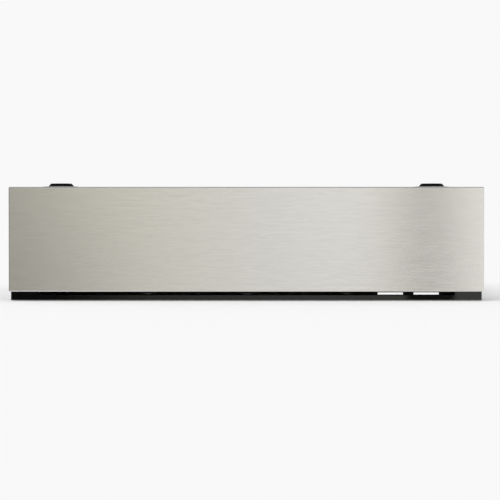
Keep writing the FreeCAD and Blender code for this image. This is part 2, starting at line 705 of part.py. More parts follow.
def tub():
    rims = [box(s * TUB_X if s > 0 else -TUB_X - TUB_RIM, TUB_X + TUB_RIM if s > 0 else -TUB_X,
                FRONT_BACK_Y + TUB_CORNER, TUB_REAR_Y - TUB_CORNER, TUB_TOP - TUB_T, TUB_TOP)
            for s in (-1, 1)]
    shell = cut(fused(tub_block(0, TUB_TOP), *rims), tub_block(TUB_T, TUB_TOP + 1))
    tools = []
    for k in range(-11, 12):
        if abs(k) > 1:
            for row in (0, 1):
                z = FAN_Z + TUB_VENT_ROWS * (row - 4 / 9)
                tools.append(stadium(V(k * TUB_VENT_PITCH, TUB_REAR_Y, z), Z, Y,
                                     TUB_VENT_LENGTH, TUB_VENT_WIDTH, 8 * TUB_T))
    for p in tub_screw_places():
        for x in (-p.x, p.x):
            tools.append(rod(DRAWER_SCREW_R + SNUG, V(x, FRONT_BACK_Y - 1, p.z), Y, TUB_T + 2))
    for p in floor_screw_places():
        for x in (-p.x, p.x):
            tools.append(rod(DRAWER_SCREW_R + SCREW_FIT, V(x, p.y, TUB_BOTTOM - 1), Z, TUB_T + 2))
    return seamed(cut(shell, *tools))


def floor_sheet(inset, z, thickness):
    """A flat sheet on the tub's floor, inset from its inner walls."""
    side = TUB_T + inset
    sheet = wide_box(TUB_X - side, FRONT_BACK_Y + side, TUB_REAR_Y - side, z, z + thickness)
    return round_edges(sheet, Z, TUB_CORNER)


def carrier_rail():
    """Folded rail between the inner runner and the underside of the tub."""
    bottom = TUB_BOTTOM - CARRIER_T
    rail = fused(box(CARRIER_X - CARRIER_T, CARRIER_X, FRONT_BACK_Y, TUB_REAR_Y, bottom, RAIL_TOP),
                 box(CARRIER_X - CARRIER_REACH, CARRIER_X, FRONT_BACK_Y, TUB_REAR_Y, bottom,
                     TUB_BOTTOM),
                 box(CARRIER_X - CARRIER_TAB, CARRIER_X, FRONT_BACK_Y, FRONT_BACK_Y + CARRIER_T,
                     bottom, RAIL_TOP))
    tools = [rod(DRAWER_SCREW_R + SNUG, p - Y * (CARRIER_T + 1), Y, CARRIER_T + 2)
             for p in tab_screw_places()]
    tools += [rod(DRAWER_SCREW_R + SNUG, p - Z, Z, CARRIER_T + 2) for p in floor_screw_places()]
    tools += [rod(RUNNER_SCREW_R + SNUG, V(CARRIER_X - 3, p.y, p.z), X, 5)
              for p in runner_screw_places()[:2]]
    return cut(rail, *tools)


def drawer_screws():
    """Right-hand half: tub and tabs to the inner plate, floor to carrier, runner to carrier."""
    plate_front = FRONT_BACK_Y - INNER_PLATE_T
    screws = [pan_screw(p, -Y, 3.8, 2.2, DRAWER_SCREW_R, p.y - plate_front)
              for p in tub_screw_places() + tab_screw_places()]
    screws += [pan_screw(p, Z, 3.8, 1.8, DRAWER_SCREW_R, CARRIER_T + TUB_T)
               for p in floor_screw_places()]
    seat_x = CARRIER_X - CARRIER_T
    screws += [pan_screw(V(seat_x, p.y, p.z), X, 3.6, 1.8, RUNNER_SCREW_R, CARRIER_T + RUNNER_T)
               for p in runner_screw_places()[:2]]
    return Part.makeCompound(screws)


# ---- ball runners --------------------------------------------------------------------------

def channel(web_at, flange_to, z0, z1):
    """A channel rail; web_at and flange_to are distances from the side panel."""
    web = sorted((WALL_X - web_at, WALL_X - web_at - RUNNER_T))
    reach = sorted((WALL_X - flange_to, web[0] if flange_to < web_at else web[1]))
    rear = RAIL_Y + RUNNER_LENGTH
    return fused(box(web[0], web[1], RAIL_Y, rear, z0, z1),
                 box(reach[0], reach[1], RAIL_Y, rear, z0, z0 + RUNNER_T),
                 box(reach[0], reach[1], RAIL_Y, rear, z1 - RUNNER_T, z1))


MIDDLE_Z = RAIL_Z + RUNNER_T + BALL_SPACE
MIDDLE_TOP = RAIL_TOP - RUNNER_T - BALL_SPACE
INNER_Z = MIDDLE_Z + RUNNER_T + BALL_SPACE
INNER_TOP = MIDDLE_TOP - RUNNER_T - BALL_SPACE


def countersunk(place, gap):
    """A countersunk runner screw, or its hole when gap is added."""
    r = RUNNER_SCREW_R + gap
    head = cone(r + RUNNER_T, r, place - X * RUNNER_T, X, RUNNER_T)
    return fused(head, rod(r, place, X, SHEET))


def runner_outer():
    rail = channel(0, INNER_OUT + RUNNER_T - FLANGE_TRIM, RAIL_Z, RAIL_TOP)
    return cut(rail, *[countersunk(p, SCREW_FIT) for p in runner_screw_places()])


def runner_middle():
    return channel(MIDDLE_IN, MIDDLE_IN + MIDDLE_DEPTH, MIDDLE_Z, MIDDLE_TOP)


def runner_inner():
    rail = channel(INNER_OUT, INNER_OUT + RUNNER_T - INNER_DEPTH, INNER_Z, INNER_TOP)
    holes = [rod(RUNNER_SCREW_R + SCREW_FIT, V(CARRIER_X - 1, p.y, p.z), X, RUNNER_T + 2)
             for p in runner_screw_places()[:2]]
    return cut(rail, *holes)


def ball_cages(u, heights):
    """Cage strips with their balls, one strip per raceway."""
    pieces = []
    start = RAIL_Y + CAGE_START
    pitch = CAGE_LENGTH / BALLS_PER_STRIP
    x = WALL_X - u
    for z in heights:
        strip = box(x - CAGE_WIDTH / 2, x + CAGE_WIDTH / 2, start, start + CAGE_LENGTH,
                    z - CAGE_T / 2, z + CAGE_T / 2)
        centres = [V(x, start + pitch * (k + 0.5), z) for k in range(BALLS_PER_STRIP)]
        holes = [rod(BALL_R + SCREW_FIT, c - Z, Z, 2) for c in centres]
        pieces.append(cut(strip, *holes))
        pieces += [Part.makeSphere(BALL_R, c) for c in centres]
    return both_sides(Part.makeCompound(pieces))


def runner_screws():
    return Part.makeCompound([countersunk(p, 0) for p in runner_screw_places()])


# ---- fan, heater and latches ---------------------------------------------------------------

def heater_leg_places():
    z = FAN_Z - math.sqrt(HEATER_R ** 2 - HEATER_LEG_X ** 2)
    return [V(side * HEATER_LEG_X, FAN_BACK_Y - FAN_WIDTH / 2, z) for side in (-1, 1)]


def fan_duct():
    half = DUCT_WIDTH / 2
    inner = wide_box(half - SHEET, DUCT_Y, DUCT_BACK_Y - SHEET, BASE_TOP + SHEET, DUCT_TOP - SHEET)
    shell = cut(wide_box(half, DUCT_Y + SHEET, DUCT_BACK_Y, BASE_TOP, DUCT_TOP), inner)
    tools = [rod(SHAFT_R + 3, V(0, DUCT_BACK_Y - 3, FAN_Z), Y, 6)]
    tools += [rod(HEATER_TUBE_R + SNUG, V(p.x, DUCT_BACK_Y - 3, p.z), Y, 6)
              for p in heater_leg_places()]
    return cut(shell, *tools)


def fan_grille():
    plate = wide_box(DUCT_WIDTH / 2, DUCT_Y, DUCT_Y + SHEET, BASE_TOP, DUCT_TOP)
    tools = []
    for k in range(-5, 6):
        x = k * INTAKE_PITCH
        length = INTAKE_REACH * math.sqrt(FAN_R ** 2 - x ** 2)
        tools.append(stadium(V(x, DUCT_Y, FAN_Z), Z, Y, length, INTAKE_WIDTH, 4 * SHEET))
    for side in (-1, 1):
        for k in range(7):
            centre = V(side * (DUCT_WIDTH / 2 - OUTLET_INSET - k * OUTLET_PITCH), DUCT_Y, FAN_Z)
            tools.append(stadium(centre, Z, Y, OUTLET_LENGTH, OUTLET_WIDTH, 4 * SHEET))
    return cut(plate, *tools)


def fan_wheel():
    front = FAN_BACK_Y - FAN_WIDTH
    disc = rod(FAN_R, V(0, FAN_BACK_Y - 1, FAN_Z), Y, 1)
    ring = cut(rod(FAN_R, V(0, front, FAN_Z), Y, 1), rod(FAN_R - 7, V(0, front - 1, FAN_Z), Y, 3))
    hub = cone(FAN_HUB_R * 0.75, FAN_HUB_R, V(0, front + 3, FAN_Z), Y, FAN_WIDTH - 3)
    blades = []
    for k in range(FAN_BLADES):
        blade = box(-0.4, 0.4, front, FAN_BACK_Y, FAN_R * 0.68, FAN_R - 0.6)
        blade.rotate(V(0, 0, FAN_R * 0.84), Y, 28)
        blade.rotate(V(0, 0, 0), Y, k * 360.0 / FAN_BLADES)
        blade.translate(V(0, 0, FAN_Z))
        blades.append(blade)
    wheel = fused(disc, ring, hub, *blades)
    return cut(wheel, rod(SHAFT_R + SCREW_FIT, V(0, front, FAN_Z), Y, FAN_WIDTH + 1))


def rotor_shaft():
    start = FAN_BACK_Y - FAN_WIDTH + 4
    shaft = rod(SHAFT_R, V(0, start, FAN_Z), Y, MOTOR_REAR_Y - 6 - start)
    return shaft.makeChamfer(0.5, edges_on(shaft, "y", start))


def fan_motor():
    flange = rod(MOTOR_FLANGE_R, V(0, DUCT_BACK_Y, FAN_Z), Y, MOTOR_FLANGE_T)
    can = rod(MOTOR_R, V(0, DUCT_BACK_Y, FAN_Z), Y, MOTOR_LENGTH)
    can = can.makeFillet(2.5, edges_on(can, "y", MOTOR_REAR_Y))
    bore = rod(SHAFT_R + SHAFT_FIT, V(0, DUCT_BACK_Y - 1, FAN_Z), Y, MOTOR_LENGTH - 4)
    slots = []
    for k in range(12):
        slot = box(-1.5, 1.5, DUCT_BACK_Y + 10, MOTOR_REAR_Y - 8, MOTOR_R - 2, MOTOR_R + 2)
        slot.rotate(V(0, 0, 0), Y, 15 + k * 30)
        slot.translate(V(0, 0, FAN_Z))
        slots.append(slot)
    return cut(fused(flange, can), bore, *slots)


def ring_heater():
    """A ring-shaped element round the fan, with two legs through the duct's back wall."""
    middle_y = FAN_BACK_Y - FAN_WIDTH / 2
    ring = Part.makeTorus(HEATER_R, HEATER_TUBE_R, V(0, middle_y, FAN_Z), Y)
    legs = []
    for p in heater_leg_places():
        legs.append(rod(HEATER_LEG_R, p, Y, HEATER_LEG_END - HEATER_PIN - p.y))
        legs.append(rod(HEATER_PIN_R, p, Y, HEATER_LEG_END - p.y))
    return fused(ring, *legs)


def thermal_cutout():
    at = V(CUTOUT_X, DUCT_BACK_Y, CUTOUT_Z)
    ears = stadium(at + Y * 0.75, X, Y, 3.6 * CUTOUT_R, 8, 1.5)
    return fused(ears, rod(CUTOUT_R, at, Y, CUTOUT_BODY),
                 rod(CUTOUT_R * 0.7, at + Y * CUTOUT_BODY, Y, CUTOUT_NOSE))


def latch_body():
    half = LATCH_BODY / 2
    block = box(LATCH_X - half, LATCH_X + half, LATCH_Y, REAR_Y, LATCH_Z - half, LATCH_Z + half)
    block = round_edges(block, Y, 2)
    foot = box(LATCH_X - half - 8, LATCH_X + half + 8, REAR_Y - 3, REAR_Y,
               LATCH_Z - half, LATCH_Z + half)
    bore = rod(PLUNGER_R + PLUNGER_FIT, V(LATCH_X, LATCH_Y - 1, LATCH_Z), Y,
               PLUNGER_LENGTH + PRESS_TRAVEL)
    return cut(fused(block, round_edges(foot, Y, 4)), bore)


def latch_plunger():
    tip = TUB_REAR_Y + PLUNGER_TIP_GAP
    stem = rod(PLUNGER_R, V(LATCH_X, tip, LATCH_Z), Y, PLUNGER_LENGTH)
    return stem.makeFillet(1.4, edges_on(stem, "y", tip))


# ---- controls ------------------------------------------------------------------------------

def bracket():
    """Folded plate that closes the gap beside the tub, fixed to the side panel."""
    return fused(box(FASCIA_X, WALL_X, FASCIA_Y, FASCIA_BACK_Y, FASCIA_Z, FASCIA_TOP),
                 box(WALL_X - FASCIA_T, WALL_X, FASCIA_Y, FASCIA_Y + FASCIA_RETURN, FASCIA_Z,
                     FASCIA_TOP))


def switch_window(gap):
    """Half width and half height of the rocker's window, gap bigger all round."""
    return ROCKER_WIDTH / 2 + ROCKER_FIT + gap, ROCKER_R + ROCKER_FIT + gap


def control_fascia():
    half_x, half_z = switch_window(BEZEL_RIM / 2 + SNUG)
    window = box(CONTROL_X - half_x, CONTROL_X + half_x, FASCIA_Y - 1, FASCIA_BACK_Y + 1,
                 ROCKER_Z - half_z, ROCKER_Z + half_z)
    return cut(bracket(), window, rod(STEM_R + 0.5, V(CONTROL_X, FASCIA_Y - 1, KNOB_Z), Y, 4))


def thermostat_body():
    half = THERMOSTAT_SIZE / 2
    body = box(CONTROL_X - half, CONTROL_X + half, FASCIA_BACK_Y, THERMOSTAT_BACK_Y,
               KNOB_Z - half, KNOB_Z + half)
    body = round_edges(body, Y, 2)
    return cut(body, rod(STEM_R + SHAFT_FIT, V(CONTROL_X, FASCIA_Y, KNOB_Z), Y, 12))


def thermostat_knob():
    base = FASCIA_Y - KNOB_FACE_GAP
    skirt = rod(KNOB_R, V(CONTROL_X, base - 3, KNOB_Z), Y, 3)
    grip = cone(KNOB_R * 0.74, KNOB_R * 0.8, V(CONTROL_X, base - KNOB_HEIGHT, KNOB_Z), Y,
                KNOB_HEIGHT - 3)
    ridges = []
    for k in range(12):
        ridge = rod(1.0, V(0, base - KNOB_HEIGHT + 1, KNOB_R * 0.77), Y, KNOB_HEIGHT - 4)
        ridge.rotate(V(0, 0, 0), Y, 15 + k * 30)
        ridge.translate(V(CONTROL_X, 0, KNOB_Z))
        ridges.append(ridge)
    pointer = box(CONTROL_X - 0.6, CONTROL_X + 0.6, base - KNOB_HEIGHT - 0.6, base - 3, KNOB_Z,
                  KNOB_Z + KNOB_R - 1)
    stem = rod(STEM_R, V(CONTROL_X, base, KNOB_Z), Y, KNOB_FACE_GAP + FASCIA_T + 10)
    return fused(skirt, grip, stem, pointer, *ridges)


def switch_body():
    """Bezel on the fascia, case behind it, hollow where the rocker swings."""
    bezel_x, bezel_z = switch_window(BEZEL_RIM)
    case_x, case_z = switch_window(BEZEL_RIM / 2)
    hole_x, hole_z = switch_window(0)
    bezel = box(CONTROL_X - bezel_x, CONTROL_X + bezel_x, FASCIA_Y - BEZEL_T, FASCIA_Y,
                ROCKER_Z - bezel_z, ROCKER_Z + bezel_z)
    bezel = bezel.makeFillet(0.6, edges_on(bezel, "y", FASCIA_Y - BEZEL_T))
    case = box(CONTROL_X - case_x, CONTROL_X + case_x, FASCIA_Y, SWITCH_BACK_Y,
               ROCKER_Z - case_z, ROCKER_Z + case_z)
    hollow = box(CONTROL_X - hole_x, CONTROL_X + hole_x, FASCIA_Y - BEZEL_T - 1,
                 FASCIA_Y + ROCKER_R + 2, ROCKER_Z - hole_z, ROCKER_Z + hole_z)
    return cut(fused(bezel, case), hollow)


def power_rocker():
    """Rocker with a shallow vee face, its lower half in: the off position."""
    half = ROCKER_WIDTH / 2
    axis = V(CONTROL_X - half, FASCIA_Y, ROCKER_Z)
    drum = rod(ROCKER_R, axis, X, ROCKER_WIDTH)
    face = 3.4
    slope = math.tan(math.radians(ROCKER_TILT))
    back = 2 * ROCKER_R
    rim = face + slope * back
    profile = [V(0, -face, 0), V(0, -rim, back), V(0, back, back), V(0, back, -back),
               V(0, -rim, -back), V(0, -face, 0)]
    wedge = Part.Face(Part.makePolygon([p + axis for p in profile])).extrude(X * ROCKER_WIDTH)
    rocker = drum.common(wedge)
    rocker.rotate(axis, X, ROCKER_TILT)
    return rocker


# ---- wiring, capillary and entries ---------------------------------------------------------

def bulb_foot():
    """Lower end of the sensing bulb, on the right-hand wall of the fan duct."""
    return V(DUCT_WIDTH / 2 + BULB_R + SOFT_GAP, (DUCT_Y + DUCT_BACK_Y) / 2, FAN_Z - BULB_LENGTH / 2)


def capillary_tube():
    top = bulb_foot() + Z * BULB_LENGTH
    run_x = CONTROL_X + 3 * CAPILLARY_R
    height = DUCT_TOP - CAPILLARY_DROP
    entry = V(CONTROL_X, THERMOSTAT_BACK_Y, KNOB_Z + THERMOSTAT_SIZE / 6)
    points = [top, top + Z * CAPILLARY_RISE, V(top.x + CAPILLARY_RISE, top.y, height),
              V(run_x - CAPILLARY_BEND, top.y, height), V(run_x, top.y - CAPILLARY_BEND, height),
              V(run_x, entry.y + CAPILLARY_BEND, height), entry + Y * CAPILLARY_RISE, entry]
    return lead(points, CAPILLARY_R, CAPILLARY_BEND / 2)


def block_face(side, rise):
    """A lead's entry on the left or right face of the terminal block."""
    return V(BLOCK_X + side * BLOCK_SIZE.x / 2, REAR_Y - BLOCK_SIZE.y / 2, BLOCK_Z + rise)


def wiring_loom():
    half_rise = BLOCK_SIZE.z / 2
    entry, exit_ = block_face(1, half_rise), block_face(-1, half_rise)
    main = [V(CONTROL_X, SWITCH_BACK_Y, ROCKER_Z),
            V(CONTROL_X, SWITCH_BACK_Y + LOOM_TURN, ROCKER_Z),
            V(LOOM_X, SWITCH_BACK_Y + 2.4 * LOOM_TURN, LOOM_Z),
            V(LOOM_X, REAR_Y - 2.2 * LOOM_TURN, LOOM_Z), V(LOOM_X - LOOM_R, entry.y, entry.z), entry]
    cut_back = V(CUTOUT_X, DUCT_BACK_Y + CUTOUT_BODY + CUTOUT_NOSE, CUTOUT_Z)
    to_cutout = [exit_, exit_ - X * LEAD_OUT, V(CUTOUT_X, exit_.y, CUTOUT_Z), cut_back]
    low = block_face(-1, BLOCK_HEIGHT / 4)
    to_motor = [low, low - X * LOW_LEAD_OUT, V(MOTOR_R + LOW_LEAD_OUT, low.y, FAN_Z),
                V(MOTOR_R, low.y, FAN_Z)]
    leg_a, leg_b = heater_leg_places()[1], heater_leg_places()[0]
    end_y = HEATER_LEG_END
    side_y = DUCT_BACK_Y + CUTOUT_BODY / 2
    turn_y = end_y + LEG_LEAD_GAP
    to_heater = [V(CUTOUT_X, side_y, CUTOUT_Z - CUTOUT_R), V(CUTOUT_X, side_y, LEAD_TURN_Z),
                 V(LEAD_TURN_X, turn_y, leg_a.z), V(leg_a.x, turn_y, leg_a.z),
                 V(leg_a.x, end_y, leg_a.z)]
    drop = FAN_Z - math.sqrt(MOTOR_R ** 2 - (HEATER_LEG_X - LEAD_R) ** 2)
    back_y = end_y + LEG_LEAD_GAP * 0.75
    back = [V(leg_b.x, back_y, drop), V(leg_b.x, back_y, leg_b.z), V(leg_b.x, end_y, leg_b.z)]
    leads = [lead(main, LOOM_R, LOOM_BEND)]
    leads += [lead(points, LEAD_R, LEAD_BEND)
              for points in (to_cutout, to_motor, to_heater, back)]
    return Part.makeCompound(leads)


def loom_clips():
    """Saddle clips on the side panel, open-backed round the loom."""
    clips = []
    span = REAR_Y - SWITCH_BACK_Y
    for share in (0.22, 0.52, 0.8):
        y = SWITCH_BACK_Y + span * share
        centre = V(LOOM_X, y, LOOM_Z)
        ring = rod(LOOM_R + SNUG + CLIP_T, centre, Y, CLIP_WIDTH)
        neck = box(LOOM_X, WALL_X, y, y + CLIP_WIDTH, LOOM_Z - CLIP_NECK / 2,
                   LOOM_Z + CLIP_NECK / 2)
        foot = box(WALL_X - CLIP_T, WALL_X, y, y + CLIP_WIDTH, LOOM_Z - CLIP_FOOT / 2,
                   LOOM_Z + CLIP_FOOT / 2)
        clips.append(cut(fused(ring, neck, foot),
                         rod(LOOM_R + SNUG, centre - Y, Y, CLIP_WIDTH + 2)))
    return Part.makeCompound(clips)


def terminal_block():
    size = BLOCK_SIZE
    x0, y0 = BLOCK_X - size.x / 2, REAR_Y - size.y
    body = box(x0, x0 + size.x, y0, REAR_Y, BLOCK_Z, BLOCK_Z + size.z)
    body = body.makeChamfer(1, edges_on(body, "y", y0))
    tools = []
    for k in range(3):
        centre = V(x0 + size.x * (k + 0.5) / 3, y0 - 0.5, BLOCK_Z + size.z - 5)
        tools.append(stadium(centre, X, Y, 8.5, 6, 7))
    return cut(body, *tools)


def cable_gland():
    axis = V(GLAND_X, 0, GLAND_Z)
    flange_t = GLAND_NOSE * 0.45
    inner_end = REAR_Y - GLAND_TAIL + SHEET
    thread = rod(GLAND_THREAD_R, axis + Y * inner_end, Y, REAR_FACE_Y - inner_end)
    flange = hexagon(10.5, axis + Y * REAR_FACE_Y, Y, flange_t)
    nose = cone(9.6, 7.4, axis + Y * (REAR_FACE_Y + flange_t), Y, GLAND_NOSE - flange_t)
    bore = rod(GLAND_BORE_R, axis + Y * (inner_end - 1), Y, UNIT_DEPTH)
    nut = hexagon(10.0, axis + Y * (REAR_Y - 4), Y, 4)
    nut = cut(nut, rod(GLAND_THREAD_R + SCREW_FIT, axis + Y * (REAR_Y - 5), Y, 6))
    return Part.makeCompound([cut(fused(thread, flange, nose), bore), nut])


# ---- the unit ------------------------------------------------------------------------------

def make_housing():
    right = side_panel()
    node("right_side_panel", right)
    node("left_side_panel", mirrored(right))
    node("base_panel", base_panel())
    node("base_feet", base_feet())
    node("rear_panel", rear_panel())
    node("top_cover", top_cover())
    node("ceiling_liner", ceiling_liner())
    node("ceiling_insulation", ceiling_insulation())
    node("housing_screws", both_sides(side_screws()))
    names = ("front_left", "front_right", "rear_left", "rear_right")
    for name, place in zip(names, boss_places()):
        node("support_pad_" + name, support_pad(place))


def make_front_fittings():
    node("front_frame", front_frame())
    node("bottom_trim", bottom_trim())
    node("power_light_bar", light_bar(-1))
    node("heat_light_bar", light_bar(1))
    node("light_board", light_board())
    node("stop_buffers", stop_buffers())


def make_drawer():
    node("front_skin", front_skin())
    node("front_inner_plate", front_inner_plate())
    node("front_insulation", front_insulation())
    node("tub", tub())
    node("glass_floor", floor_sheet(GLASS_INSET, TUB_FLOOR, GLASS_T))
    node("floor_mat", floor_sheet(GLASS_INSET + MAT_INSET, TUB_FLOOR + GLASS_T, MAT_T))
    node("carrier_rail_right", carrier_rail())
    node("carrier_rail_left", mirrored(carrier_rail()))
    node("drawer_screws", both_sides(drawer_screws()))


def make_runners():
    for name, rail in (("outer", runner_outer()), ("middle", runner_middle()),
                       ("inner", runner_inner())):
        node("runner_%s_right" % name, rail)
        node("runner_%s_left" % name, mirrored(rail))
    outer_rows = (RAIL_Z + RUNNER_T + BALL_SPACE / 2, RAIL_TOP - RUNNER_T - BALL_SPACE / 2)
    inner_rows = (MIDDLE_Z + RUNNER_T + BALL_SPACE / 2, MIDDLE_TOP - RUNNER_T - BALL_SPACE / 2)
    node("outer_ball_cages", ball_cages(OUTER_BALL_AT, outer_rows))
    node("inner_ball_cages", ball_cages(INNER_BALL_AT, inner_rows))
    node("runner_screws", both_sides(runner_screws()))


def make_rear_fittings():
    node("fan_duct", fan_duct())
    node("fan_grille", fan_grille())
    node("fan_wheel", fan_wheel())
    node("rotor_shaft", rotor_shaft())
    node("fan_motor", fan_motor())
    node("ring_heater", ring_heater())
    node("thermal_cutout", thermal_cutout())
    for name, piece in (("latch_body", latch_body()), ("latch_plunger", latch_plunger())):
        node(name + "_right", piece)
        node(name + "_left", mirrored(piece))


def make_controls():
    node("control_fascia", control_fascia())
    node("blank_fascia", mirrored(bracket()))
    node("thermostat_body", thermostat_body())
    node("thermostat_knob", thermostat_knob())
    node("switch_body", switch_body())
    node("power_rocker", power_rocker())
    node("capillary_bulb", rod(BULB_R, bulb_foot(), Z, BULB_LENGTH))
    node("capillary_tube", capillary_tube())
    node("wiring_loom", wiring_loom())
    node("loom_clips", loom_clips())
    node("terminal_block", terminal_block())
    node("cable_gland", cable_gland())


make_housing()
make_front_fittings()
make_drawer()
make_runners()
make_rear_fittings()
make_controls()

os.makedirs("parts", exist_ok=True)
for name, shape in NODES.items():
    bad = [s for s in shape.Solids if not s.isValid() or s.Volume <= 0]
    size = shape.BoundBox
    print("%-26s solids %3d volume %11.1f  x %7.1f %7.1f  y %7.1f %7.1f  z %6.1f %6.1f%s" % (
        name, len(shape.Solids), shape.Volume, size.XMin, size.XMax, size.YMin, size.YMax,
        size.ZMin, size.ZMax, "  INVALID" if bad or not shape.Solids else ""))
    shape.exportStep("parts/%s.step" % name)
print(len(NODES), "nodes")
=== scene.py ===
"""Finishes, small fittings and studio of the built-in warming drawer.

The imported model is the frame; every length here is in metres, and places come from its boxes.
"""
import json
import math

import bmesh
import bpy
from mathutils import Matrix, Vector


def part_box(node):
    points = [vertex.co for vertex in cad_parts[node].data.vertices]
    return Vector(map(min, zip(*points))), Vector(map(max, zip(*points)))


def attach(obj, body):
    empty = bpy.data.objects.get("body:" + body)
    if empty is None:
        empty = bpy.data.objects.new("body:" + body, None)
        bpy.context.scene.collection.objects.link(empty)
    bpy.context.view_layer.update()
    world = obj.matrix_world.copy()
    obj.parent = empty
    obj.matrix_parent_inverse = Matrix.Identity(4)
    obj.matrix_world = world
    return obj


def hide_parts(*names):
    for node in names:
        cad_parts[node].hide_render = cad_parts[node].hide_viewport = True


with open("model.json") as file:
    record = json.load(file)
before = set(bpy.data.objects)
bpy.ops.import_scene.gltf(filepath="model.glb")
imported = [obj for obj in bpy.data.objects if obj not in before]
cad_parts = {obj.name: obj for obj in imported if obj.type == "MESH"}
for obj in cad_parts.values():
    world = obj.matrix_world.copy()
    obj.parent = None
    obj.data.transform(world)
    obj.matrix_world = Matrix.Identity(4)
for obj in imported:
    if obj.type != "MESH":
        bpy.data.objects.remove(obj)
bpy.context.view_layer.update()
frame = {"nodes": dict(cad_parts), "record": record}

MM = 0.001


# ---- studio sizes --------------------------------------------------------------------------

PAPER_WHITE = 0.945           # floor and background
PAPER_SHADES = 0.003          # how far the floor's paper strays from it
FLOOR_REACH = 14.0

CAMERA_AT = Vector((0.0045, -2.775, 0.100))
CAMERA_AIM = Vector((0.0045, -0.275, 0.06435))
CAMERA_LENS = 143.9
SENSOR = 36.0
VIEW_END = 50.0

ROOM_LIGHT = 0.60             # the rest of the light comes from the key lamp
OVERHEAD_DIM = 0.42           # what mirror images find overhead, as a share of the white
OVERHEAD_RISE = (0.34, 0.62)  # how far a direction points up where the dimming starts and ends
LEFT_DIM = 0.30               # the same on the left
LEFT_TURN = (-0.80, -0.35)
KEY_FROM = Vector((-0.35, -0.95, 1.05))
KEY_SOFTNESS = math.radians(50.0)

CARD_Y = -4.0                 # graded cards behind the camera, mirrored by the drawer front
CARD_SPLIT = 0.06             # the lower card ends here and the upper one starts
CARD_HALF_WIDTH = 2.4
CARD_LOW, CARD_HIGH = -1.6, 2.2
CARD_PEAK = 1.6               # strength that a card's colour of 1 stands for
WARM_SHADE = (1.0, 0.98, 0.85)            # tint on the left and round the dark gap
GAP_LEFT, GAP_RIGHT = 0.496, 0.647        # dark gap between the lower card's two leaves
GAP_EDGE = 0.002              # half the width of its soft edges

# place across the card, strength there, share of the warm shade
LOWER_CARD = (
    (-2.40, 0.04, 0.8), (-0.75, 0.045, 0.8), (-0.60, 0.07, 0.8), (-0.50, 0.18, 0.9),
    (-0.40, 0.39, 0.9), (-0.30, 0.56, 0.8), (-0.20, 0.64, 0.7), (0.0, 0.73, 0.3),
    (0.30, 0.85, 0.0), (GAP_LEFT - GAP_EDGE, 0.90, 0.8), (GAP_LEFT + GAP_EDGE, 0.12, 1.0),
    (GAP_RIGHT - GAP_EDGE, 0.12, 1.0), (GAP_RIGHT + GAP_EDGE, 1.0, 0.4), (2.40, 1.0, 0.0))
UPPER_CARD = (
    (-2.40, 0.52, 1.0), (-0.75, 0.75, 1.0), (-0.60, 1.06, 0.95), (-0.45, 1.13, 0.8),
    (-0.15, 1.08, 0.65), (0.0, 1.11, 0.3), (0.15, 1.16, 0.0), (0.30, 1.31, 0.0),
    (0.44, 1.45, 0.55), (GAP_LEFT, 1.27, 0.8), (0.51, 0.02, 1.0), (0.605, 0.02, 1.0),
    (0.62, 1.20, 0.8), (0.70, 1.45, 0.2), (2.40, 1.50, 0.0))


# ---- nodes of a finish ---------------------------------------------------------------------

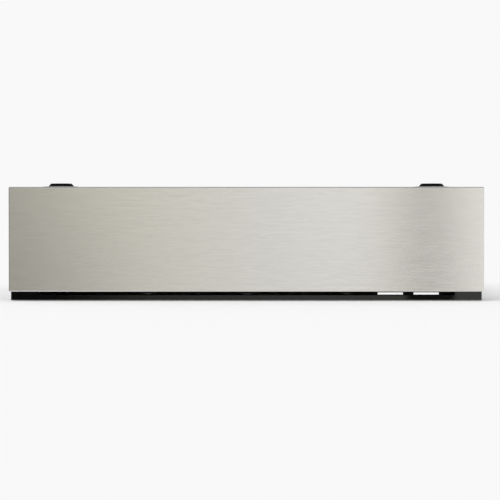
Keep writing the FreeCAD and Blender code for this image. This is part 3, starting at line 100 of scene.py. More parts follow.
class Finish:
    """A procedural material: even values on the shader's sockets, patterns on Object space."""

    def __init__(self, name, **values):
        self.material = bpy.data.materials.new(name)
        self.material.use_nodes = True
        self.tree = self.material.node_tree
        self.shader = self.tree.nodes["Principled BSDF"]
        for key, value in values.items():
            self.shader.inputs[key.replace("_", " ")].default_value = value
        self.place = self.tree.nodes.new("ShaderNodeTexCoord").outputs["Object"]

    def node(self, kind, inputs=(), **settings):
        """A new node; each input is a plain value or another node's output."""
        made = self.tree.nodes.new("ShaderNode" + kind)
        for key, value in settings.items():
            setattr(made, key, value)
        for key, value in dict(inputs).items():
            if isinstance(value, bpy.types.NodeSocket):
                self.tree.links.new(value, made.inputs[key])
            else:
                made.inputs[key].default_value = value
        return made

    def to(self, socket, name):
        """Feeds one of the shader's sockets."""
        self.tree.links.new(socket, self.shader.inputs[name])

    def stretched(self, scale, turn=(0.0, 0.0, 0.0)):
        """Object space scaled on each axis, for grain that runs one way."""
        inputs = {"Vector": self.place, "Scale": scale, "Rotation": turn}
        return self.node("Mapping", inputs).outputs["Vector"]

    def noise(self, scale, detail=3.0, roughness=0.55, at=None):
        inputs = {"Vector": at or self.place, "Scale": scale, "Detail": detail,
                  "Roughness": roughness}
        return self.node("TexNoise", inputs).outputs["Fac"]

    def cells(self, scale, feature="F1", randomness=1.0, out="Distance", at=None):
        inputs = {"Vector": at or self.place, "Scale": scale, "Randomness": randomness}
        return self.node("TexVoronoi", inputs, feature=feature).outputs[out]

    def between(self, value, low, high, out_low=0.0, out_high=1.0):
        inputs = {"Value": value, "From Min": low, "From Max": high, "To Min": out_low,
                  "To Max": out_high}
        return self.node("MapRange", inputs, clamp=True).outputs["Result"]

    def maths(self, operation, a, b=0.0):
        return self.node("Math", {0: a, 1: b}, operation=operation).outputs["Value"]

    def sum_of(self, *shares):
        """Patterns added up, each times its share."""
        parts = [self.maths("MULTIPLY", value, share) for value, share in shares]
        total = parts[0]
        for part in parts[1:]:
            total = self.maths("ADD", total, part)
        return total

    def blend(self, fac, dark, light):
        """Colour from dark to light as fac goes from 0 to 1; each may be a colour or a socket."""
        made = self.node("Mix", {"Factor": fac}, data_type="RGBA")
        for index, colour in ((6, dark), (7, light)):
            if isinstance(colour, bpy.types.NodeSocket):
                self.tree.links.new(colour, made.inputs[index])
            else:
                made.inputs[index].default_value = tuple(colour) + (1.0,)
        return made.outputs[2]

    def bump(self, height, distance, strength):
        inputs = {"Height": height, "Distance": distance, "Strength": strength}
        return self.node("Bump", inputs).outputs["Normal"]

    def edges_worn(self, dark, light, spread=0.8 * MM):
        """Lighter where the surface turns sharply, as where paint or plating is rubbed."""
        bevel = self.node("Bevel", {"Radius": spread}, samples=4).outputs["Normal"]
        flat = self.node("NewGeometry").outputs["Normal"]
        turned = self.node("VectorMath", {0: bevel, 1: flat}, operation="DOT_PRODUCT")
        worn = self.between(turned.outputs["Value"], 0.995, 0.93)
        return self.blend(worn, dark, light)


def scaled(colour, factor):
    """A lighter or darker colour of the same hue."""
    return tuple(min(1.0, c * factor) for c in colour)


# ---- finishes ------------------------------------------------------------------------------

def brushed_stainless():
    """Drawer front: fine horizontal grain, smooth and rough lines side by side."""
    tone = (0.692, 0.679, 0.657)
    f = Finish("brushed_stainless", Metallic=1.0, Anisotropic=0.95)
    hair = f.noise(1.0, 2.0, 0.5, f.stretched((34.0, 900.0, 2600.0)))
    fine = f.noise(1.0, 3.0, 0.6, f.stretched((90.0, 900.0, 700.0)))
    broad = f.noise(1.0, 2.0, 0.5, f.stretched((36.0, 260.0, 560.0)))
    lines = f.sum_of((hair, 0.5), (fine, 0.5))
    shade = f.between(lines, 0.3, 0.7)
    f.to(f.blend(shade, scaled(tone, 0.945), scaled(tone, 1.055)), "Base Color")
    f.to(f.between(broad, 0.3, 0.7, 0.225, 0.255), "Roughness")
    f.to(f.bump(lines, 0.000006, 0.3), "Normal")
    f.to(f.node("Tangent", direction_type="RADIAL", axis="X").outputs["Tangent"], "Tangent")
    return f.material


def satin_stainless():
    """Tub and grille: satin sheet, its grain along the drawer and up the folded end walls."""
    f = Finish("satin_stainless", Metallic=1.0, Anisotropic=0.4)
    along = f.noise(1.0, 3.0, 0.6, f.stretched((1300.0, 16.0, 1300.0)))
    upwards = f.noise(1.0, 3.0, 0.6, f.stretched((1300.0, 1300.0, 16.0)))
    facing = f.node("SeparateXYZ", {"Vector": f.place.node.outputs["Normal"]}).outputs["Y"]
    ends = f.between(f.maths("ABSOLUTE", facing), 0.5, 0.7)
    grain = f.between(f.node("Mix", {0: ends, 2: along, 3: upwards}).outputs[0], 0.3, 0.7)
    cloud = f.noise(9.0, 4.0, 0.6)
    tone = f.sum_of((grain, 0.55), (cloud, 0.45))
    f.to(f.blend(tone, (0.61, 0.61, 0.60), (0.78, 0.78, 0.77)), "Base Color")
    f.to(f.between(grain, 0.0, 1.0, 0.27, 0.35), "Roughness")
    f.to(f.bump(grain, 0.000008, 0.25), "Normal")
    return f.material


def galvanised():
    """Hot-dip galvanised sheet: crystal spangle with slightly different tone and gloss."""
    f = Finish("galvanised_sheet", Metallic=1.0)
    ragged = f.node("TexNoise", {"Vector": f.place, "Scale": 260.0, "Detail": 3.0})
    bent = f.node("VectorMath", {0: ragged.outputs["Color"], 1: (0.0045,) * 3, 2: f.place},
                  operation="MULTIPLY_ADD").outputs["Vector"]
    crystals = f.node("SeparateColor", {"Color": f.cells(210.0, out="Color", at=bent)})
    tone, shine = crystals.outputs["Red"], crystals.outputs["Green"]
    frost = f.noise(1100.0, 4.0, 0.65)
    cloud = f.noise(16.0, 3.0)
    grey = f.sum_of((tone, 0.45), (frost, 0.30), (cloud, 0.25))
    f.to(f.blend(grey, (0.55, 0.565, 0.575), (0.72, 0.735, 0.745)), "Base Color")
    f.to(f.between(shine, 0.0, 1.0, 0.34, 0.44), "Roughness")
    f.to(f.bump(grey, 0.00002, 0.3), "Normal")
    return f.material


def clouded_metal(name, tone, low, high):
    """Bright bare or plated metal, faintly clouded, with its lowest and highest roughness."""
    f = Finish(name, Metallic=1.0)
    cloud = f.noise(60.0, 4.0, 0.6)
    f.to(f.blend(cloud, scaled(tone, 0.85), scaled(tone, 1.08)), "Base Color")
    f.to(f.between(f.noise(240.0), 0.3, 0.7, low, high), "Roughness")
    return f.material


def enamel():
    """Satin black stove enamel with fine orange peel."""
    f = Finish("black_enamel", Specular_IOR_Level=0.45)
    speckle = f.noise(900.0, 2.0)
    f.to(f.edges_worn((0.013, 0.013, 0.014), (0.055, 0.055, 0.057)), "Base Color")
    f.to(f.between(f.noise(40.0), 0.3, 0.7, 0.34, 0.46), "Roughness")
    f.to(f.bump(speckle, 0.00006, 0.4), "Normal")
    return f.material


def gloss_trim():
    """Polished black moulding."""
    f = Finish("gloss_black_trim", Specular_IOR_Level=0.5)
    haze = f.noise(300.0, 3.0)
    f.to(f.blend(haze, (0.0028, 0.0028, 0.0030), (0.0042, 0.0042, 0.0045)), "Base Color")
    f.to(f.between(haze, 0.3, 0.7, 0.012, 0.030), "Roughness")
    return f.material


def moulded(name, colour, roughness=0.45, depth=0.00003):
    """Moulded plastic with a fine spark-eroded texture and slight shade differences."""
    f = Finish(name, Specular_IOR_Level=0.45)
    grain = f.noise(1400.0, 2.0)
    cloud = f.noise(35.0, 3.0)
    f.to(f.blend(cloud, scaled(colour, 0.86), scaled(colour, 1.12)), "Base Color")
    f.to(f.between(grain, 0.3, 0.7, roughness - 0.04, roughness + 0.04), "Roughness")
    f.to(f.bump(grain, depth, 0.25), "Normal")
    return f.material


def rubber():
    """Black moulded rubber: dusty bloom in the hollows of a fine grain."""
    f = Finish("black_rubber", Specular_IOR_Level=0.05)
    grain = f.noise(1100.0, 3.0)
    bloom = f.noise(130.0, 4.0, 0.7)
    f.to(f.blend(bloom, (0.0015, 0.0015, 0.0015), (0.005, 0.005, 0.005)), "Base Color")
    f.to(f.between(bloom, 0.3, 0.7, 0.50, 0.66), "Roughness")
    f.to(f.bump(grain, 0.00004, 0.5), "Normal")
    return f.material


def silicone():
    """Dark grey silicone with dust in a fine grain."""
    f = Finish("silicone_mat", Specular_IOR_Level=0.4)
    dust = f.noise(220.0, 4.0, 0.7)
    f.to(f.blend(dust, (0.030, 0.030, 0.033), (0.058, 0.058, 0.062)), "Base Color")
    f.to(f.between(dust, 0.3, 0.7, 0.46, 0.62), "Roughness")
    f.to(f.bump(f.noise(1500.0, 2.0), 0.00003, 0.4), "Normal")
    return f.material


def tinted_glass():
    """Grey-green floor glass, slightly smeared."""
    f = Finish("tinted_floor_glass", Transmission_Weight=0.85, IOR=1.5)
    smear = f.noise(14.0, 4.0, 0.7)
    f.to(f.blend(smear, (0.20, 0.23, 0.22), (0.26, 0.29, 0.28)), "Base Color")
    f.to(f.between(smear, 0.3, 0.7, 0.02, 0.07), "Roughness")
    return f.material


def light_diffuser():
    """White translucent bar, lit from behind."""
    f = Finish("light_diffuser", Roughness=0.3, Emission_Strength=0.58)
    cloud = f.noise(260.0, 2.0)
    f.to(f.blend(cloud, (0.88, 0.88, 0.88), (0.94, 0.94, 0.94)), "Base Color")
    f.to(f.blend(cloud, (0.97, 0.98, 0.98), (1.0, 1.0, 1.0)), "Emission Color")
    return f.material


def circuit_board():
    """Dull black solder mask over copper tracks."""
    f = Finish("circuit_board", Specular_IOR_Level=0.06)
    tracks = f.cells(260.0, feature="DISTANCE_TO_EDGE", randomness=0.6,
                     at=f.stretched((1.0, 0.2, 2.4)))
    mask = f.between(tracks, 0.05, 0.09)
    f.to(f.blend(mask, (0.0060, 0.0070, 0.0070), (0.0020, 0.0024, 0.0024)), "Base Color")
    f.to(f.between(tracks, 0.0, 0.2, 0.45, 0.60), "Roughness")
    return f.material


def mineral_wool():
    """Needled mineral wool: two lays of long fibres, brown clumps and needle dimples, the dimples
    darkened with painted shade.
    """
    f = Finish("mineral_wool", Roughness=0.95, Specular_IOR_Level=0.1)
    one_way = f.noise(1.0, 5.0, 0.7, f.stretched((110.0, 700.0, 900.0), (0.3, 0.5, 0.2)))
    other_way = f.noise(1.0, 5.0, 0.7, f.stretched((900.0, 180.0, 130.0), (-0.4, 0.6, 0.3)))
    fibres = f.maths("MAXIMUM", one_way, other_way)
    clumps = f.noise(55.0, 4.0, 0.65)
    dimples = f.between(f.cells(95.0, randomness=0.4), 0.0, 0.3)
    lay = f.between(f.sum_of((fibres, 0.6), (clumps, 0.4)), 0.42, 0.66)
    # painted shade: the colour is darkened towards the middle of each dimple, where the bump dips
    # deepest
    tone = f.maths("MULTIPLY", lay, f.between(dimples, 0.0, 1.0, 0.75, 1.0))
    f.to(f.blend(tone, (0.24, 0.17, 0.075), (0.80, 0.69, 0.44)), "Base Color")
    f.to(f.bump(f.maths("ADD", fibres, dimples), 0.0009, 0.8), "Normal")
    return f.material


def heat_darkened():
    """Heater sheath, straw to grey-brown from heat."""
    f = Finish("heater_sheath", Metallic=0.85)
    cloud = f.noise(55.0, 4.0, 0.65)
    f.to(f.blend(cloud, (0.10, 0.085, 0.075), (0.27, 0.21, 0.15)), "Base Color")
    f.to(f.between(cloud, 0.3, 0.7, 0.40, 0.60), "Roughness")
    return f.material


def braided():
    """Woven sleeving over the wires: two sets of strands crossing at an angle."""
    f = Finish("loom_sleeving", Roughness=0.75, Specular_IOR_Level=0.25)
    strands = []
    for way in (1, -1):
        turned = f.stretched((1.0, 1.0, 1.0), (0.0, way * 0.6, way * 0.7))
        inputs = {"Vector": turned, "Scale": 420.0, "Distortion": 0.6}
        strands.append(f.node("TexWave", inputs).outputs["Fac"])
    weave = f.maths("MAXIMUM", *strands)
    f.to(f.blend(weave, (0.010, 0.010, 0.010), (0.055, 0.055, 0.058)), "Base Color")
    f.to(f.bump(weave, 0.0003, 0.6), "Normal")
    return f.material


def make_finishes():
    """One finish for each material slot of the record."""
    return {
        "stainless_front": brushed_stainless(),
        "stainless_tub": satin_stainless(),
        "galvanised_sheet": galvanised(),
        "zinc_plated_steel": clouded_metal("zinc_plated", (0.66, 0.68, 0.71), 0.20, 0.34),
        "bearing_steel": clouded_metal("bearing_steel", (0.70, 0.70, 0.71), 0.10, 0.18),
        "screw_steel": clouded_metal("screw_steel", (0.62, 0.62, 0.63), 0.18, 0.30),
        "black_enamel": enamel(),
        "gloss_black_trim": gloss_trim(),
        "gloss_black_rocker": moulded("rocker_plastic", (0.010, 0.010, 0.010), 0.16, depth=0.00001),
        "black_plastic": moulded("black_plastic", (0.016, 0.016, 0.017)),
        "dark_thermoset": moulded("dark_thermoset", (0.055, 0.036, 0.024), 0.5),
        "grey_plastic": moulded("grey_acetal", (0.22, 0.23, 0.24), 0.4),
        "cream_thermoplastic": moulded("cream_thermoplastic", (0.66, 0.61, 0.49), 0.5),
        "natural_nylon": moulded("natural_nylon", (0.68, 0.66, 0.58), 0.4),
        "black_rubber": rubber(),
        "silicone_mat": silicone(),
        "light_diffuser": light_diffuser(),
        "circuit_board": circuit_board(),
        "mineral_wool": mineral_wool(),
        "floor_glass": tinted_glass(),
        "copper": clouded_metal("drawn_copper", (0.80, 0.42, 0.25), 0.20, 0.34),
        "aluminium_fan": clouded_metal("fan_aluminium", (0.72, 0.73, 0.74), 0.28, 0.42),
        "heater_sheath": heat_darkened(),
        "motor_can": clouded_metal("motor_can", (0.50, 0.51, 0.52), 0.28, 0.40),
        "loom_sleeving": braided(),
        "brass": clouded_metal("terminal_brass", (0.78, 0.60, 0.30), 0.18, 0.30),
        "white_print": moulded("white_print", (0.74, 0.74, 0.73), 0.55, depth=0.00001)}


def dress_cad_nodes(finishes):
    """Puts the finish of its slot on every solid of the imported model."""
    for row in frame["record"]["subparts"]:
        materials = frame["nodes"][row["node"]].data.materials
        materials.clear()
        materials.append(finishes[row["material_slot"]])


# ---- modelling -----------------------------------------------------------------------------

SMOOTH_UP_TO = math.radians(32)
NEAR = 1e-6                   # closer than this is the same place
FACING = 0.9                  # a face looks along an axis if its normal has this much of it


def only(piece):
    """Selects one piece and nothing else."""
    bpy.ops.object.select_all(action="DESELECT")
    piece.select_set(True)
    bpy.context.view_layer.objects.active = piece


def started(adding, **settings):
    """A new primitive, alone in the selection."""
    bpy.ops.object.select_all(action="DESELECT")
    adding(**settings)
    return bpy.context.object


def block(centre, size):
    """A box to start from, its size already in the mesh."""
    piece = started(bpy.ops.mesh.primitive_cube_add, size=1.0, location=centre)
    piece.scale = size
    bpy.ops.object.transform_apply(location=False, rotation=False, scale=True)
    return piece


class EditMode:
    """Edit mode on one piece, whose place is put in its mesh first."""

    def __init__(self, piece):
        self.piece = piece

    def __enter__(self):
        only(self.piece)
        bpy.ops.object.transform_apply(location=True, rotation=True, scale=True)
        bpy.ops.object.mode_set(mode="EDIT")
        return self

    def __exit__(self, *_):
        bpy.ops.object.mode_set(mode="OBJECT")

    def pick(self, kind, test):
        """Selects the faces or edges that pass a test, and nothing else."""
        bpy.ops.mesh.select_all(action="DESELECT")
        bpy.ops.mesh.select_mode(type={"faces": "FACE", "edges": "EDGE"}[kind])
        mesh = bmesh.from_edit_mesh(self.piece.data)
        for part in getattr(mesh, kind):
            if test(part):
                part.select_set(True)
        bmesh.update_edit_mesh(self.piece.data)


def modified(piece, kind, **settings):
    """Adds one modifier and applies it."""
    only(piece)
    modifier = piece.modifiers.new(kind.lower(), kind)
    for key, value in settings.items():
        setattr(modifier, key, value)
    bpy.ops.object.modifier_apply(modifier=modifier.name)


def joined(pieces):
    """Several pieces made one mesh."""
    only(pieces[0])
    for piece in pieces[1:]:
        piece.select_set(True)
    bpy.ops.object.join()
    return bpy.context.object


def another(piece, shift):
    """A copy with a mesh of its own, moved by a shift."""
    copy = piece.copy()
    copy.data = piece.data.copy()
    bpy.context.scene.collection.objects.link(copy)
    copy.location = copy.location + Vector(shift)
    return copy


def settled(piece, name, finish, body, smooth=True):
    """Puts the place in the mesh, then names the piece, paints it and rides it on its body."""
    only(piece)
    bpy.ops.object.transform_apply(location=True, rotation=True, scale=True)
    if smooth:
        bpy.ops.object.shade_smooth_by_angle(angle=SMOOTH_UP_TO)
    piece.name = piece.data.name = name
    piece.data.materials.clear()
    piece.data.materials.append(finish)
    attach(piece, body)


def reach(edge, axis):
    """How far an edge runs along one axis."""
    return abs((edge.verts[1].co - edge.verts[0].co)[axis])


def middle(node):
    """Centre and size of a solid's box."""
    low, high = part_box(node)
    return (low + high) / 2, high - low


# ---- mineral wool --------------------------------------------------------------------------

WOOL_CLEAR = 0.3 * MM         # between the slab and the space it lies in
WOOL_EDGE = 3.0 * MM
WOOL_GRID = 7.0 * MM          # spacing of the points on its faces
WOOL_DIP = 0.11               # how deep the faces dip, as a share of the slab's thickness
WOOL_TUFT = 16.0 * MM


def wool_pad(name, node, body, finishes):
    """A cut slab of needled wool: soft edges, faces that dip and swell a little."""
    centre, size = middle(node)
    pad = block(centre, [s - 2 * WOOL_CLEAR for s in size])
    modified(pad, "BEVEL", width=WOOL_EDGE, segments=3)
    with EditMode(pad) as hand:
        for axis in range(3):
            length = size[axis] - 2 * (WOOL_CLEAR + WOOL_EDGE)
            hand.pick("edges", lambda e: reach(e, axis) > 0.99 * length)
            bpy.ops.mesh.subdivide(number_cuts=max(1, int(length / WOOL_GRID)))
    tufts = bpy.data.textures.new(name + "_tufts", "CLOUDS")
    tufts.noise_scale = WOOL_TUFT
    tufts.noise_depth = 3
    modified(pad, "DISPLACE", texture=tufts, strength=WOOL_DIP * min(size), mid_level=1.0,
             texture_coords="LOCAL")
    modified(pad, "SUBSURF", levels=1, render_levels=1)
    settled(pad, name, finishes["mineral_wool"], body)
    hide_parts(node)


# ---- anti-slip mat -------------------------------------------------------------------------

STUD_SIDES = 14
STUD_R = 2.6 * MM
STUD_HEIGHT = 0.55 * MM
STUD_ROUNDING = 0.8           # of its top edge, as a share of its height
STUD_PITCH = 14.0 * MM
STUD_MARGIN = 14.0 * MM       # from the edge of the mat


def mat_studs(finishes):
    """Rows of low round studs moulded on the mat."""
    low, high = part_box("floor_mat")
    counts = [int((high[k] - low[k] - 2 * STUD_MARGIN) / STUD_PITCH) + 1 for k in (0, 1)]
    start = [(low[k] + high[k] - (counts[k] - 1) * STUD_PITCH) / 2 for k in (0, 1)]
    stud = started(bpy.ops.mesh.primitive_cylinder_add, vertices=STUD_SIDES, radius=STUD_R,
                   depth=STUD_HEIGHT, end_fill_type="NGON",
                   location=(start[0], start[1], high.z + STUD_HEIGHT / 2))
    with EditMode(stud) as hand:
        hand.pick("edges", lambda e: all(v.co.z > high.z + STUD_HEIGHT / 2 for v in e.verts))
        bpy.ops.mesh.bevel(offset=STUD_HEIGHT * STUD_ROUNDING, segments=2, affect="EDGES")
    for axis, count in enumerate(counts):
        step = [0.0, 0.0, 0.0]
        step[axis] = STUD_PITCH
        modified(stud, "ARRAY", count=count, use_relative_offset=False,
                 use_constant_offset=True, constant_offset_displace=step)
    settled(stud, "mat_studs", finishes["silicone_mat"], "drawer")


# ---- support pads --------------------------------------------------------------------------

PAD_SIDES = 72
PAD_HEIGHT = 3.8 * MM
PAD_TOP_R = 13.3 * MM
PAD_PEG_R = 4.0 * MM
PAD_RINGS = (3.0 * MM, 1.1 * MM, 2.2 * MM, 1.1 * MM)     # land, groove, land, groove inwards
PAD_GROOVE = 0.5 * MM
PAD_RIM = 0.5 * MM


def rubber_pad(node):
    """A flat cone with ring grooves in its top and a peg under it."""
    centre, size = middle(node)
    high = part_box(node)[1].z
    seat = high - PAD_HEIGHT
    pad = started(bpy.ops.mesh.primitive_cone_add, vertices=PAD_SIDES, radius1=size.x / 2,
                  radius2=PAD_TOP_R, depth=PAD_HEIGHT,
                  location=(centre.x, centre.y, seat + PAD_HEIGHT / 2))

    def on_rim(vertex):
        outwards = math.dist(vertex.co.xy, centre.xy)
        return abs(vertex.co.z - high) < NEAR and outwards > PAD_TOP_R - NEAR

    with EditMode(pad) as hand:
        hand.pick("faces", lambda f: f.normal.z > FACING)
        for index, width in enumerate(PAD_RINGS):
            bpy.ops.mesh.inset(thickness=width)
            way = -1 if index % 2 == 0 else 1
            bpy.ops.mesh.extrude_region_move(
                TRANSFORM_OT_translate={"value": (0, 0, way * PAD_GROOVE)})
        hand.pick("faces", lambda f: f.normal.z < -FACING)
        bpy.ops.mesh.inset(thickness=size.x / 2 - PAD_PEG_R)
        bpy.ops.mesh.extrude_region_move(
            TRANSFORM_OT_translate={"value": (0, 0, centre.z - size.z / 2 - seat)})
        hand.pick("edges", lambda e: all(on_rim(v) for v in e.verts))
        bpy.ops.mesh.bevel(offset=PAD_RIM, segments=3, affect="EDGES")
    return pad


def support_pads(finishes):
    """Rubber pads with two ring grooves in their tops: one is modelled, three are its copies."""
    first = rubber_pad("support_pad_front_left")
    start = middle("support_pad_front_left")[0]
    for corner in ("front_left", "front_right", "rear_left", "rear_right"):
        node = "support_pad_" + corner
        pad = first if corner == "front_left" else another(first, middle(node)[0] - start)
        settled(pad, "rubber_pad_" + corner, finishes["black_rubber"], "housing")
        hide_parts(node)            # a copy keeps the first pad's node beside its own


# ---- marks on the controls -----------------------------------------------------------------

MARK_T = 0.06 * MM
MARK_ROUNDING = 0.25          # of a bar's corners, as a share of its narrow side


def dial_axis():
    """Where the thermostat's shaft meets the face of the control fascia."""
    centre = middle("thermostat_knob")[0]
    return Vector((centre.x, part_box("control_fascia")[0].y, centre.z))


def bar(centre, size, rotation=(0.0, 0.0, 0.0), rounding=MARK_ROUNDING):
    """A thin printed bar on a face that looks to the front."""
    piece = block(centre, size)
    piece.rotation_euler = rotation
    with EditMode(piece) as hand:
        hand.pick("edges", lambda e: e.calc_length() < 2 * MARK_T)
        bpy.ops.mesh.bevel(offset=min(size[0], size[2]) * rounding, segments=2, affect="EDGES")
    return piece


def letters(text, height, centre):
    """Printed characters on a face that looks to the front."""
    bpy.ops.object.select_all(action="DESELECT")
    bpy.ops.object.text_add(location=centre, rotation=(math.pi / 2, 0, 0))
    made = bpy.context.object
    made.data.body = text
    made.data.size = height
    made.data.align_x = "CENTER"
    made.data.align_y = "CENTER"
    made.data.extrude = MARK_T / 2
    bpy.ops.object.convert(target="MESH")
    return bpy.context.object


DIAL_TICKS = 31
DIAL_SWEEP = math.radians(270)
TICK_FROM = 13.4 * MM         # inner ends of the ticks, from the axis
TICK_WIDTH = 0.35 * MM
TICK_SHORT, TICK_LONG = 0.6 * MM, 2.1 * MM
SWITCH_SIDE = math.radians(46)            # the switch's bezel covers this much each way below
DIAL_WORDS = (                # text, height, place right of the axis and above it
    ("0", 3.0 * MM, 0.0, 15.4 * MM),
    ("MIN", 1.9 * MM, 12.6 * MM, 15.4 * MM),
    ("MAX", 1.9 * MM, -13.6 * MM, 8.6 * MM))


def dial_marks(finishes):
    """A ring of ticks that grow with the heat, and generic words at its ends."""
    axis = dial_axis()
    lift = -MARK_T / 2
    marks = []
    for k in range(1, DIAL_TICKS):
        share = k / (DIAL_TICKS - 1)
        turn = DIAL_SWEEP * share
        if abs(turn - math.pi) < SWITCH_SIDE:
            continue
        length = TICK_SHORT + (TICK_LONG - TICK_SHORT) * share
        out = TICK_FROM + length / 2
        at = axis + Vector((out * math.sin(turn), lift, out * math.cos(turn)))
        marks.append(bar(at, (TICK_WIDTH, MARK_T, length), (0.0, turn, 0.0)))
    for text, height, right, up in DIAL_WORDS:
        marks.append(letters(text, height, axis + Vector((right, lift, up))))
    settled(joined(marks), "dial_marks", finishes["white_print"], "housing",
            smooth=False)


POINTER_WIDTH = 0.6 * MM
POINTER_LENGTH = 7.2 * MM
POINTER_UP = 6.6 * MM         # its middle, from the axis


def pointer_mark(finishes):
    """White line on the knob."""
    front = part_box("thermostat_knob")[0].y
    axis = dial_axis()
    at = (axis.x, front - MARK_T / 2, axis.z + POINTER_UP)
    mark = bar(at, (POINTER_WIDTH, MARK_T, POINTER_LENGTH))
    settled(mark, "pointer_mark", finishes["white_print"], "thermostat_knob")


ROCKER_TILT = math.radians(10)
ROCKER_FACE = 3.4 * MM        # from its axis to the bottom of the vee
ROCKER_MARK_AT = 3.0 * MM     # marks this far from the vee
LINE_WIDTH = 0.5 * MM
LINE_LENGTH = 2.4 * MM
LINE_ROUNDING = 0.24
RING_R = 1.1 * MM
RING_WIRE_R = 0.22 * MM
RING_FLATNESS = 0.15


def on_rocker(side):
    """Middle of a mark on the upper (1) or lower (-1) face at rest, and that face's lean."""
    centre = middle("power_rocker")[0]
    axis = Vector((centre.x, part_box("control_fascia")[0].y, middle("switch_body")[0].z))
    out = ROCKER_FACE + math.tan(ROCKER_TILT) * ROCKER_MARK_AT + MARK_T / 2
    up = side * ROCKER_MARK_AT
    at = Vector((0, -out * math.cos(ROCKER_TILT) - up * math.sin(ROCKER_TILT),
                 -out * math.sin(ROCKER_TILT) + up * math.cos(ROCKER_TILT)))
    return axis + at, ROCKER_TILT * (1 + side)


def rocker_marks(finishes):
    """Generic line and ring on the two faces of the rocker."""
    at, lean = on_rocker(1)
    line = bar(at, (LINE_WIDTH, MARK_T, LINE_LENGTH), (lean, 0.0, 0.0), LINE_ROUNDING)
    at, lean = on_rocker(-1)
    ring = started(bpy.ops.mesh.primitive_torus_add, major_radius=RING_R,
                   minor_radius=RING_WIRE_R, major_segments=32, minor_segments=8, location=at,
                   rotation=(math.pi / 2 + lean, 0, 0))
    with EditMode(ring):
        bpy.ops.mesh.select_all(action="SELECT")
        bpy.ops.transform.resize(value=(1, RING_FLATNESS, 1), center_override=at)
    settled(joined([line, ring]), "rocker_marks", finishes["white_print"], "power_rocker")


# ---- terminal screws -----------------------------------------------------------------------

TERMINAL_PLACES = 3
TERMINAL_RECESS = 3.0 * MM    # depth of the pockets in the block's face
TERMINAL_DROP = 5.0 * MM      # screws under the top of the block
SCREW_SIDES = 32
SCREW_R = 2.2 * MM
SCREW_T = 1.4 * MM
SCREW_LIP = 0.3 * MM          # step round the raised middle of its head
SCREW_RAISE = 0.2 * MM
SCREW_SLOT_LENGTH = 4.84 * MM             # past both sides of the head
SCREW_SLOT_WIDTH = 0.55 * MM
SCREW_SLOT_DEPTH = 0.5 * MM


def terminal_screws(finishes):
    """Slotted brass screws in the pockets of the terminal block."""
    low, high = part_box("terminal_block")
    pitch = (high.x - low.x) / TERMINAL_PLACES
    at = Vector((low.x + pitch / 2, low.y + TERMINAL_RECESS - SCREW_T / 2, high.z - TERMINAL_DROP))
    modelled = started(bpy.ops.mesh.primitive_cylinder_add, vertices=SCREW_SIDES, radius=SCREW_R,
                       depth=SCREW_T, location=at, rotation=(math.pi / 2, 0, 0))
    with EditMode(modelled) as hand:
        hand.pick("faces", lambda f: f.normal.y < -FACING)
        bpy.ops.mesh.inset(thickness=SCREW_LIP)
        bpy.ops.mesh.extrude_region_move(
            TRANSFORM_OT_translate={"value": (0, -SCREW_RAISE, 0)})
    face = at.y - SCREW_T / 2 - SCREW_RAISE
    groove = block((at.x, face, at.z), (SCREW_SLOT_LENGTH, 2 * SCREW_SLOT_DEPTH, SCREW_SLOT_WIDTH))
    modified(modelled, "BOOLEAN", object=groove, operation="DIFFERENCE", solver="EXACT")
    bpy.data.objects.remove(groove)
    for k in range(TERMINAL_PLACES):
        screw = another(modelled, (k * pitch, 0, 0))
        settled(screw, "terminal_screw_%d" % (k + 1), finishes["brass"], "housing")
    bpy.data.objects.remove(modelled)


# ---- studio --------------------------------------------------------------------------------

def camera():
    """Long lens straight at the front, a little above it."""
    data = bpy.data.cameras.new("studio_camera")
    data.sensor_width = SENSOR
    data.lens = CAMERA_LENS
    data.clip_end = VIEW_END
    made = bpy.data.objects.new("studio_camera", data)
    made.location = CAMERA_AT
    made.rotation_euler = (CAMERA_AIM - CAMERA_AT).to_track_quat("-Z", "Y").to_euler()
    bpy.context.scene.collection.objects.link(made)
    bpy.context.scene.camera = made


def stage_plane(name, corners, material):
    """A plain sheet of the studio, not a part of the drawer."""
    mesh = bpy.data.meshes.new(name)
    mesh.from_pydata(corners, [], [(0, 1, 2, 3)])
    mesh.materials.append(material)
    made = bpy.data.objects.new(name, mesh)
    bpy.context.scene.collection.objects.link(made)
    return made


def paper_floor():
    """White floor under the feet; it takes the shadow and stays out of the mirror images."""
    f = Finish("paper_floor", Roughness=0.9, Specular_IOR_Level=0.0)
    fibre = f.noise(30.0, 3.0)
    shades = [(PAPER_WHITE + way * PAPER_SHADES,) * 3 for way in (-1, 1)]
    f.to(f.blend(fibre, *shades), "Base Color")
    r = FLOOR_REACH
    made = stage_plane("paper_floor", [(-r, -r, 0), (r, -r, 0), (r, r, 0), (-r, r, 0)], f.material)
    made.visible_glossy = False


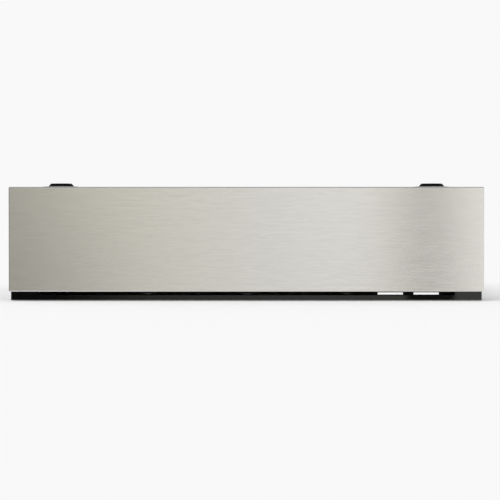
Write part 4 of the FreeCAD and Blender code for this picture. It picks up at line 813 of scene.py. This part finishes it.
def graded_card(name, low, high, steps):
    """Card behind the camera whose light falls off to the left, with a dark gap on the right."""
    material = bpy.data.materials.new(name)
    material.use_nodes = True
    tree = material.node_tree
    tree.nodes.clear()
    place = tree.nodes.new("ShaderNodeTexCoord")
    split = tree.nodes.new("ShaderNodeSeparateXYZ")
    share = tree.nodes.new("ShaderNodeMapRange")
    share.inputs["From Min"].default_value = -CARD_HALF_WIDTH
    share.inputs["From Max"].default_value = CARD_HALF_WIDTH
    ramp = tree.nodes.new("ShaderNodeValToRGB")
    glow = tree.nodes.new("ShaderNodeEmission")
    glow.inputs["Strength"].default_value = CARD_PEAK
    out = tree.nodes.new("ShaderNodeOutputMaterial")
    material.cycles.emission_sampling = "NONE"          # mirrored only, never a lamp
    stops = ramp.color_ramp.elements
    stops.remove(stops[1])
    for index, (x, strength, warmth) in enumerate(steps):
        at = (x + CARD_HALF_WIDTH) / (2 * CARD_HALF_WIDTH)
        stop = stops.new(at) if index else stops[0]
        stop.position = at
        level = strength / CARD_PEAK
        stop.color = tuple(level * (1 - warmth * (1 - c)) for c in WARM_SHADE) + (1.0,)
    link = tree.links.new
    link(place.outputs["Object"], split.inputs[0])
    link(split.outputs["X"], share.inputs["Value"])
    link(share.outputs["Result"], ramp.inputs["Fac"])
    link(ramp.outputs["Color"], glow.inputs["Color"])
    link(glow.outputs["Emission"], out.inputs["Surface"])
    w = CARD_HALF_WIDTH
    made = stage_plane(name, [(-w, CARD_Y, low), (-w, CARD_Y, high), (w, CARD_Y, high),
                              (w, CARD_Y, low)], material)
    made.visible_camera = False
    made.visible_diffuse = False
    made.visible_shadow = False


def white_room():
    """White where it is seen; mirror images find it dimmer overhead and on the left."""
    world = bpy.data.worlds.new("white_room")
    bpy.context.scene.world = world
    world.use_nodes = True
    tree = world.node_tree
    back = tree.nodes["Background"]
    back.inputs["Color"].default_value = (1.0, 1.0, 1.0, 1.0)
    ray = tree.nodes.new("ShaderNodeLightPath")
    way = tree.nodes.new("ShaderNodeTexCoord")
    split = tree.nodes.new("ShaderNodeSeparateXYZ")
    link = tree.links.new
    link(way.outputs["Generated"], split.inputs[0])

    def between(value, limits, results):
        made = tree.nodes.new("ShaderNodeMapRange")
        for key, number in zip(("From Min", "From Max", "To Min", "To Max"), limits + results):
            made.inputs[key].default_value = number
        link(value, made.inputs["Value"])
        return made.outputs["Result"]

    def combined(operation, a, b):
        made = tree.nodes.new("ShaderNodeMath")
        made.operation = operation
        link(a, made.inputs[0])
        link(b, made.inputs[1])
        return made.outputs["Value"]

    overhead = between(split.outputs["Z"], OVERHEAD_RISE, (1.0, OVERHEAD_DIM))
    leftwards = between(split.outputs["X"], LEFT_TURN, (LEFT_DIM, 1.0))
    mirrored = between(combined("MULTIPLY", overhead, leftwards), (0.0, 1.0), (0.0, PAPER_WHITE))
    seen = combined("MAXIMUM", ray.outputs["Is Camera Ray"], ray.outputs["Is Transmission Ray"])
    plain = between(seen, (0.0, 1.0), (ROOM_LIGHT, PAPER_WHITE))
    strength = tree.nodes.new("ShaderNodeMix")
    link(ray.outputs["Is Glossy Ray"], strength.inputs[0])
    link(plain, strength.inputs[2])
    link(mirrored, strength.inputs[3])
    link(strength.outputs[0], back.inputs["Strength"])


def key_lamp():
    """Broad soft light from above the camera, as bright on the floor as the room leaves."""
    data = bpy.data.lights.new("key_softbox", "SUN")
    data.angle = KEY_SOFTNESS
    data.energy = (1.0 - ROOM_LIGHT) * math.pi / KEY_FROM.normalized().z
    made = bpy.data.objects.new("key_softbox", data)
    made.rotation_euler = (-KEY_FROM).to_track_quat("-Z", "Y").to_euler()
    made.visible_glossy = False
    bpy.context.scene.collection.objects.link(made)


def build():
    """The studio first, then the finishes, then the pieces."""
    camera()
    bpy.context.scene.view_settings.view_transform = "Standard"
    white_room()
    key_lamp()
    paper_floor()
    graded_card("lower_card", CARD_LOW, CARD_SPLIT, LOWER_CARD)
    graded_card("upper_card", CARD_SPLIT, CARD_HIGH, UPPER_CARD)
    finishes = make_finishes()
    dress_cad_nodes(finishes)
    wool_pad("front_wool", "front_insulation", "drawer", finishes)
    wool_pad("ceiling_wool", "ceiling_insulation", "housing", finishes)
    mat_studs(finishes)
    support_pads(finishes)
    dial_marks(finishes)
    pointer_mark(finishes)
    rocker_marks(finishes)
    terminal_screws(finishes)


build()
